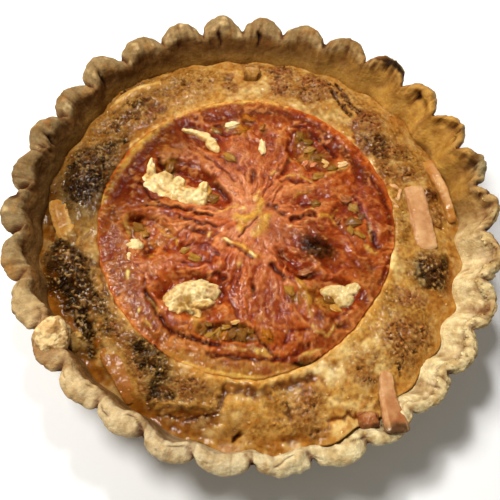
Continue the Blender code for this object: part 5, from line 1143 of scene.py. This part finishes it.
lumpPiece("curdBottom", "curd_bottom", "curd", curdMaterial, "skinCream", 23.9, [
    (-0.4, -41.2, 5.4, 1.1, -3, 0.74), (5.6, -41, 2.9, 1.1, -15, 0.74)], [
    (-1.5, -40.6, 3.5, 0.5, 0, -0.2, "fleshDusty", 0.75), (-3.5, -41.6, 2, 0.5, -10, 0.0, "fleshDusty", 0.6),
    (0.8, -41.8, 3.6, 0.35, -2, 0.2, "cream", 0.9), (6.3, -41, 2, 0.7, -20, 0.1, "cream", 0.8)], lumpy=0.4)
lumpPiece("curdTop", "curd_top", "curd", curdMaterial, "curd", 24.1, [
    (-22, 29.3, 3, 0.9, -12, 0.93), (-17.6, 27.9, 2.6, 1.5, -25, 0.99), (-14.8, 25.4, 1.8, 2.4, 30, 1.1),
    (-13.3, 23.6, 1.2, 1.4, 30, 0.93)], [
    (-19, 27, 3, 0.6, -30, 0.0, "curdGold", 0.6), (-16, 23.6, 1, 0.8, -30, 0.0, "curdGold", 0.6)], lumpy=0.35)
lumpPiece("hamBitTop", "ham_bit_top", "ham", custardMaterial, "onionTan", 22.0, [
    (-4.4, 54.6, 3.0, 2.5, 2, 3.4)], [(-4.4, 56.0, 2.4, 1.0, 0, 0.1, "ham", 0.4),
    # the two dark marks at the cube's left and right sides are painted shade
    (-2.2, 53.4, 0.5, 1.2, 0, 0.0, "roastDark", 0.8), (-6.8, 53.4, 0.7, 1.2, 0, 0, "roastDark", 0.6)],
    soft=9, lumpy=0.3, cells=56, squares=5)
lumpPiece("hamBitSide", "ham_bit_side", "ham", hamMaterial, "ham", 22.2, [
    (44.2, 16.6, 2.2, 1.0, -25, 1.8), (45.6, 13.2, 1.1, 3.2, -12, 1.9), (44.9, 9.6, 1.2, 1.8, 10, 1.6)], [
    (44, 13, 0.8, 2.6, 0, -0.3, "custardDeep", 0.8), (46.4, 11.5, 0.5, 3, -5, 0.0, "roastDark", 0.7)],
    lumpy=0.35, cells=64)
lumpPiece("hamBitRim", "ham_bit_rim", "ham", hamMaterial, "hamRed", 24.0, [
    (37.4, -57.6, 2.6, 2.4, 30, 2.4)], [(37.6, -59.4, 2.2, 0.8, 10, 0.0, "hamBurnt", 0.6),
    (37, -56, 1.6, 1, 20, 0.1, "ham", 0.5)], soft=5, lumpy=0.4, cells=56, squares=3)
lumpPiece("onionBitLeft", "onion_bit_left", "onion", hamMaterial, "onion", 20.5, [
    (-47.4, -42.4, 1.8, 2.9, 15, 1.7), (-46.6, -40.6, 1.2, 1.2, 0, 1.7)], [
    (-48.4, -42.5, 0.5, 2.4, 15, 0.0, "cream", 0.6)], lumpy=0.2, cells=56)


# ---------------------------------------------------------------- strips of ham and onion

def smoothPath(path, count):
    values = numpy.array(path, float)
    padded = numpy.vstack([2 * values[0] - values[1], values, 2 * values[-1] - values[-2]])
    found = []
    for position in numpy.linspace(0, len(path) - 1, count):
        index = min(int(position), len(path) - 2)
        t = position - index
        before, start, end, after = padded[index:index + 4]
        found.append(0.5 * (2 * start + (end - before) * t + (2 * before - 5 * start + 4 * end - after) * t ** 2
                            + (3 * start - before - 3 * end + after) * t ** 3))
    return numpy.array(found)


def stripPiece(name, node, slot, path, halfWidth, halfThick, ends, ground, marks=(), tilt=0.0, streaks=0.2, boxy=0.45):
    along, around = 120, 40
    shape = bmesh.new()
    bmesh.ops.create_grid(shape, x_segments=along, y_segments=around, size=1)
    line = smoothPath(path, along + 1)
    levels = custardHeight(line[:, 0], line[:, 1]) + line[:, 2] + 0.4
    for vertex in shape.verts:
        index = round((vertex.co.x + 1) / 2 * along)
        turn = (vertex.co.y + 1) * math.pi
        t = index / along
        before, after = line[max(index - 1, 0)], line[min(index + 1, along)]
        runX, runY = after[0] - before[0], after[1] - before[1]
        length = math.hypot(runX, runY)
        cap = min(t, 1 - t) / 0.06
        close = math.sqrt(max(0.0, 1 - (1 - min(cap, 1)) ** 2)) if cap < 1 else 1.0
        wide = halfWidth * (ends[0] + (ends[1] - ends[0]) * t) * close ** 0.5
        bow = (1 - (2 * t - 1) ** 4)
        thick = halfThick * (0.55 + 0.45 * bow) * close
        c, d = math.cos(turn), math.sin(turn)
        across = wide * math.copysign(abs(c) ** boxy, c)
        above = thick * math.copysign(abs(d) ** (boxy + 0.1), d) + tilt * across
        vertex.co = (line[index][0] - runY / length * across, line[index][1] + runX / length * across,
                     levels[index] + above)
    bmesh.ops.remove_doubles(shape, verts=shape.verts, dist=1e-5)
    form = asMesh(shape, name)
    points = meshPoints(form)
    form.update()
    outward = outwardOf(form)
    points += outward * (0.22 * ripple(points, 2.5, 61) + 0.12 * ripple(points, 1.1, 62) + 0.05 * ripple(points, 0.5, 63))[:, None]
    look = numpy.tile(paints[ground], (len(points), 1))
    start, end = numpy.array(path[0][:2]), numpy.array(path[-1][:2])
    way = (end - start) / numpy.linalg.norm(end - start)
    run = points[:, :2] @ way
    over = points[:, 1] * way[0] - points[:, 0] * way[1]
    grainLine = ripple(numpy.stack([run / 7, over / 0.7, points[:, 2] / 2], axis=1), 1, 64)
    points[:, 2] += streaks * 0.4 * grainLine
    points[:, 2] += layMarks(points[:, 0] + 0.3 * ripple(points, 1.5, 65), points[:, 1] + 0.3 * ripple(points, 1.5, 66), look, marks)
    paler = {"ham": "hamPale", "onion": "cream"}[slot] if ground != "glazeDark" else "glaze"
    cover(look, 0.35 * ease(grainLine, 0.1, 0.8), paler)
    cover(look, 0.3 * ease(grainLine, -0.1, -0.8), "hamRed" if slot == "ham" else "custardDeep")
    placePoints(form, points * mm)
    return finishPiece(form, name, look, hamMaterial if boxy < 0.6 else custardMaterial, [node])


stripPiece("hamStripRight", "ham_strip_right", "ham", ((50.0, 18.0, -0.9), (52.4, 7, -0.4), (54.6, -4.3, -0.9)), 3.4, 1.3,
           (1, 0.98), "ham", [(51, 17.4, 3.5, 1.2, -10, 0, "hamPale", 0.5), (54.5, -2.5, 3, 1.6, 0, 0, "hamPale", 0.5),
           # the last mark, dark red at the strip's far end (54.7, -5), is painted shade on its end
           (((46.8, 17), (49.4, 7), (51.6, -4)), 0.5, 0.0, "hamRed", 0.6), (49.5, 10, 1.4, 4, 10, 0, "custardDeep", 0.35), (53.6, 5, 1.6, 3.5, 10, 0, "hamRed", 0.3), (52, 0, 2, 1.6, 0, 0, "hamPale", 0.5), (54.7, -5, 3.2, 0.7, 0, 0, "hamRed", 0.8)])
stripPiece("hamStripWall", "ham_strip_wall", "ham", ((55.0, 28.2, 0.2), (57.6, 21.5, 1.0), (60.6, 14.5, 1.2), (63.2, 6.8, 0.4)),
           2.2, 1.4, (0.8, 0.6), "glaze", [(58.5, 20, 1.5, 7, 18, 0.0, "ham", 0.5),
           # the pale line along the strip's top is a painted highlight
           (((58.6, 20), (60.3, 15.5), (62, 11.5)), 0.8, 0.2, "hamPale", 0.6)], tilt=0.25)
stripPiece("hamStripRim", "ham_strip_rim", "ham", ((42, -43, -0.1), (42.4, -49, 1.2), (43.2, -55, 4.2), (44.2, -61, 7.2)),
           3.6, 1.2, (0.45, 1), "ham", [(43.2, -53.5, 3.6, 4.2, 0, 0, "hamRed", 0.7), (43.8, -57.5, 3.6, 2.2, 0, 0, "hamRed", 0.9),
           (44.2, -60, 4, 2.0, 8, 0, "hamBurnt", 0.97), (((40.6, -50), (41.2, -55), (41.7, -60)), 0.45, 0, "hamPale", 0.5)])
stripPiece("hamStripGlazed", "ham_strip_glazed", "ham", ((-37.5, -42.5, -1.5), (-31.8, -50, -0.9), (-26.5, -57, -1.5)), 4.4, 0.9,
           (0.9, 0.85), "glazeDark", [(-34, -49, 2, 7, 42, 0, "glaze", 0.6), (-36.5, -44.5, 2.5, 3, 0, 0, "glazeDark", 0.7), (((-36, -41.5), (-30.5, -48), (-26, -54)), 0.6, 0, "hamPale", 0.4),
           (-31, -52, 2.5, 1.5, -50, 0, "hamRed", 0.5), (((-38, -46.5), (-33, -52.5), (-29, -57)), 0.7, 0, "glazeDark", 0.6)], streaks=0.9, boxy=0.85)
stripPiece("onionStripLeft", "onion_strip_left", "onion", ((-60.6, 2.2, -0.7), (-58.2, -4, -0.2), (-54.6, -10.4, -0.7)), 4.2, 0.8,
           (0.75, 0.8), "onionTan", [(((-58.5, 1), (-56, -5), (-53, -10)), 0.6, 0, "onion", 0.6), (-59, -3, 2, 6, 20, 0, "amber", 0.45)], streaks=0.25, boxy=0.9)
stripPiece("onionStripTop", "onion_strip_top", "onion", ((-50, 35.0, -0.6), (-46, 39.6, -0.1), (-41.5, 43.4, 0.0), (-36.5, 46.2, -0.1), (-31, 47.8, -0.6)),
           3.2, 1.2, (0.6, 0.6), "onionTan", [(((-48, 38.6), (-42, 44), (-35, 47.6)), 0.6, 0, "onion", 0.8)], streaks=0.25, boxy=0.9)


# ---------------------------------------------------------------- seeds, beads of oil, crumbs and flakes

def scatter(name, material, seats, fineness):
    # a seat is x, y, z, half length, half width, half height, turn, tilt, look
    blob = bmesh.new()
    bmesh.ops.create_icosphere(blob, subdivisions=fineness, radius=1)
    single = asMesh(blob, "single")
    shape = bmesh.new()
    for seat in seats:
        shape.from_mesh(single)
    form = asMesh(shape, name)
    unit = meshPoints(single)
    points, looks = [], []
    for x, y, z, length, width, height, turn, tilt, look in seats:
        bumpy = (1 + 0.12 * numpy.sin(5 * unit[:, 0] + 3 * unit[:, 1] + x)
                 + 0.1 * numpy.sin(4 * unit[:, 2] + 6 * unit[:, 1] + y))
        narrow = 1 - 0.28 * unit[:, 0]  # a seed narrows towards one end
        grown = unit * numpy.array((length, width, height)) * bumpy[:, None]
        grown[:, 1] *= narrow
        turned = numpy.array((Matrix.Rotation(math.radians(turn), 3, "Z") @ Matrix.Rotation(math.radians(tilt), 3, "Y")))
        points.append(grown @ turned.T + (x, y, z))
        looks.append(numpy.tile(look, (len(unit), 1)))
    bpy.data.meshes.remove(single)
    placePoints(form, numpy.concatenate(points) * mm)
    return finishPiece(form, name, numpy.concatenate(looks), material)


seedMarks = [
    (16.8, 26.8, 2.0, 1.2, 25, "seed"), (18.8, 24.4, 1.9, 1.1, -10, "seedDark"), (21.8, 23.0, 1.5, 0.8, -30, "skinCream"),
    (22.1, 21.2, 1.2, 0.6, 50, "skinCream"), (27.3, 21.6, 1.7, 1.1, 25, "cream"), (15.5, 21.5, 1.5, 0.8, 55, "fleshPale"),
    (18.3, 21.6, 1.4, 0.7, 40, "fleshPale"), (13.2, 31.6, 1.9, 1.2, -60, "gelOlive"), (16, 29.8, 1.8, 1.1, 10, "gelOlive"),
    (24.3, 20.0, 1.7, 1.0, 20, "gelOlive"), (20, 16.9, 2.2, 1.2, 20, "seed"), (1.2, 25.4, 2.8, 1.1, 95, "cream"),
    (28.8, 9.6, 1.9, 1.6, 10, "hamRed"), (31.5, 7.0, 1.9, 1.4, -40, "seed"), (31.6, 2.2, 2.8, 1.5, 0, "seedDark"),
    (33.8, 4.4, 1.2, 0.9, 20, "seedDark"), (30.6, -1.2, 1.5, 1.0, -60, "seed"), (19.4, 7.0, 1.5, 1.2, 0, "seedDark"),
    (33.4, -2.3, 1.8, 0.9, -30, "seed"), (26.6, 2.2, 1.3, 0.9, 60, "fleshTan"),
    (13.2, -22.4, 2.1, 1.3, -60, "seed"), (25.2, -23.8, 1.9, 1.1, -15, "seedDark"), (26.8, -26, 2.1, 1.2, -30, "curdGold"),
    (-10.8, -36.4, 1.5, 1.0, 60, "seedDark"), (-8.8, -37.6, 1.7, 1.0, 35, "seed"), (-6.6, -36.2, 1.5, 0.9, 80, "seed"),
    (-4.6, -37, 1.6, 1.1, 70, "gelAmber"), (-4.4, -34.8, 1.3, 0.8, 20, "seed"), (-9.6, -34.6, 1.2, 0.8, -20, "seedDark"),
    (-1.8, -33.4, 1.4, 0.7, 25, "skinCream"), (2.2, -35.2, 1.6, 1.0, -30, "seedDark"), (-2.2, -36.4, 1.7, 1.2, 85, "seedDark"),
    (0.6, -36.8, 2.0, 1.3, -70, "seedDark"), (-7.0, -38.4, 1.2, 0.7, 10, "gelOlive"), (7.6, -36.2, 1.9, 1.1, -50, "gelAmber"),
    (-19, -12.3, 1.9, 0.9, 25, "seed"), (-15.8, -14.6, 2.0, 1.3, -10, "seed"), (-17.2, -28.0, 2.0, 1.6, 20, "seed"),
    (-31.4, -8.2, 1.1, 1.3, 0, "seed"), (-33.8, -6.4, 2.2, 1.4, -20, "seedDark"), (-12.2, 6.6, 2.2, 1.5, 40, "seedDark"),
    (-14.4, 9.0, 1.8, 1.1, -70, "curdGold"), (-27.0, 15.6, 2.1, 1.3, 75, "seedDark"), (-8.6, 20.2, 2.3, 1.2, -30, "seed"),
    (-13.8, 29.8, 2.0, 0.9, -20, "gelOlive"), (-9.2, 32.8, 2.3, 1.2, 25, "cream"), (-5.8, 31.2, 1.8, 1.3, 0, "gelAmber"),
    (-3.8, 35.7, 2.1, 1.0, -25, "gelAmber"), (0.6, 32.8, 1.3, 0.9, 60, "gelAmber"), (17.4, -15.8, 2.0, 1.1, 15, "hamRed"),
]
seats = []
for x, y, length, width, turn, paint in seedMarks:
    z = onTomato(x, y)[0]
    seats.append((x, y, z + 0.15, length, width, 0.55 * width, turn, random.uniform(-12, 12), paints[paint]))
scatter("tomatoSeeds", tomatoMaterial, seats, 4)

seats = []
while len(seats) < 1100:  # beads of oil on the wettest flesh and custard
    angle, away = random.uniform(0, math.tau), math.sqrt(random.uniform(0, 1)) * 64
    x, y = away * math.cos(angle), away * math.sin(angle)
    inTomato = math.hypot(x + 1.3, y + 1.5) < 44
    z, index = (onTomato if inTomato else onCustard)(x, y)
    look = (tomatoLook if inTomato else fillLook)[index].copy()
    if look[3] < 0.55 or random.random() > look[3]:
        continue
    # each bead's colour is lifted above the surface under it: a painted highlight
    look[:3] = look[:3] * 1.15 + 0.02
    look[3] = 1.0
    look[4] = 0.0
    size = random.uniform(0.12, 0.36)
    seats.append((x, y, z + 0.05 * size, size * random.uniform(1, 1.6), size, size * 0.55, random.uniform(0, 180), 0, look))
scatter("oilBeads", tomatoMaterial, seats, 2)

seats = []
while len(seats) < 900:  # crisp crumbs where the top is charred
    angle, away = random.uniform(0, math.tau), random.uniform(46, 66)
    x, y = away * math.cos(angle), away * math.sin(angle)
    z, index = onCustard(x, y)
    look = fillLook[index].copy()
    if look[4] < 0.7:
        continue
    shade = random.choice((0.5, 0.7, 1.0, 1.2, 1.7))
    look[:3] = numpy.clip(look[:3] * shade, 0, 0.8)
    size = random.uniform(0.2, 0.55)
    seats.append((x, y, z + 0.2 * size, size * random.uniform(0.8, 1.7), size * random.uniform(0.6, 1), size * 0.7,
                  random.uniform(0, 360), random.uniform(-40, 40), look))
scatter("roastCrumbs", custardMaterial, seats, 2)


foldedLobe = {"place": (-52.0, -43.2, 27.6), "halves": (4.9, 5.8, 5.0)}
shape = bmesh.new()
bmesh.ops.create_icosphere(shape, subdivisions=6, radius=1)
lobeForm = asMesh(shape, "foldedLobe")
unit = meshPoints(lobeForm)
turnedUnit = unit * (1 + 0.16 * ripple(unit, 0.9, 91) + 0.07 * ripple(unit, 0.35, 92) + 0.03 * ripple(unit, 0.15, 93))[:, None]
points = turnedUnit * foldedLobe["halves"] + foldedLobe["place"]
placePoints(lobeForm, points * mm)
look = numpy.tile(paints["pastryCream"], (len(points), 1))
cover(look, 0.8 * ease(ripple(points, 2.6, 94) + 0.5 * ripple(points, 1.1, 95), 0.0, 0.5), "pastryToast")
cover(look, 0.6 * ease(ripple(points, 1.5, 96), 0.2, 0.6), "pastryGrey")
# painted shade: browner towards the lobe's underside
cover(look, 0.8 * ease(points[:, 2], 26.5, 23.5), "pastryBrown")
look[:, :3] *= 1.3
finishPiece(lobeForm, "foldedLobe", look, crustMaterial)

seats = []
onCase = finder(casePoints, onWall & (casePoints[:, 2] > 24) & (inner < 0.95))
while len(seats) < 150:  # flakes of pastry coming off the rim on the crumbly right side
    angle = random.gauss(345, 16)
    away = crust["radius"] + random.uniform(-4.5, 1.5)
    x, y = away * math.cos(math.radians(angle)), away * math.sin(math.radians(angle))
    z, index = onCase(x, y)
    x, y = casePoints[index][:2]
    look = caseLook[index].copy()
    look[:3] = numpy.clip(look[:3] * random.choice((0.6, 0.85, 1.05, 1.25)), 0, 0.85)
    size = random.uniform(0.2, 0.5)
    seats.append((x, y, z + 0.05, size * random.uniform(1, 1.7), size, size * 0.3, random.uniform(0, 360),
                  random.uniform(-45, 45), look))
scatter("pastryFlakes", crustMaterial, seats, 2)


# ---------------------------------------------------------------- floor, light and camera

def stagePiece(name, size, colour):
    shape = bmesh.new()
    bmesh.ops.create_grid(shape, x_segments=1, y_segments=1, size=size)
    form = asMesh(shape, name)
    floor = bpy.data.objects.new(name, form)
    bpy.context.collection.objects.link(floor)
    material = bpy.data.materials.new(name)
    material.use_nodes = True
    shader = material.node_tree.nodes["Principled BSDF"]
    shader.inputs["Base Color"].default_value = colour
    shader.inputs["Roughness"].default_value = 0.8
    form.materials.append(material)
    return floor


stagePiece("floor", 3.0, (0.84, 0.87, 0.93, 1))
world = bpy.data.worlds.new("studio")
bpy.context.scene.world = world
world.use_nodes = True
world.node_tree.nodes["Background"].inputs["Color"].default_value = (1.0, 0.93, 0.8, 1)
world.node_tree.nodes["Background"].inputs["Strength"].default_value = 0.24


def lamp(name, place, target, size, power, colour):
    data = bpy.data.lights.new(name, "AREA")
    data.shape = "DISK"
    data.size = size
    data.energy = power
    data.color = colour
    piece = bpy.data.objects.new(name, data)
    bpy.context.collection.objects.link(piece)
    piece.location = place
    piece.rotation_euler = (Vector(target) - Vector(place)).to_track_quat("-Z", "Y").to_euler()
    return piece


lamp("keyLamp", (-0.17, 0.04, 0.4), (0, 0, 0.02), 0.12, 1.85, (1.0, 0.95, 0.86))
lamp("glintLamp", (-0.04, 0.19, 0.4), (0, 0, 0.02), 0.05, 1.0, (1.0, 0.96, 0.9))

view = {"place": (0.0, -90.4, 213.9), "target": (0.4, -12.0, 28.5), "lens": 49.2, "roll": -5.6}
cameraData = bpy.data.cameras.new("camera")
cameraData.lens = view["lens"]
cameraData.sensor_width = 36
cameraData.clip_start = 0.01
camera = bpy.data.objects.new("camera", cameraData)
bpy.context.collection.objects.link(camera)
eye, target = Vector(view["place"]) * mm, Vector(view["target"]) * mm
forward = (target - eye).normalized()
right = forward.cross(Vector((0, 0, 1))).normalized()
upward = right.cross(forward)
roll = math.radians(view["roll"])
tilted = upward * math.cos(roll) + right * math.sin(roll)
side = forward.cross(tilted)
turn = Matrix((side, tilted, -forward)).transposed()
camera.location = eye
camera.rotation_euler = turn.to_euler()
bpy.context.scene.camera = camera
bpy.context.scene.view_settings.view_transform = "Standard"
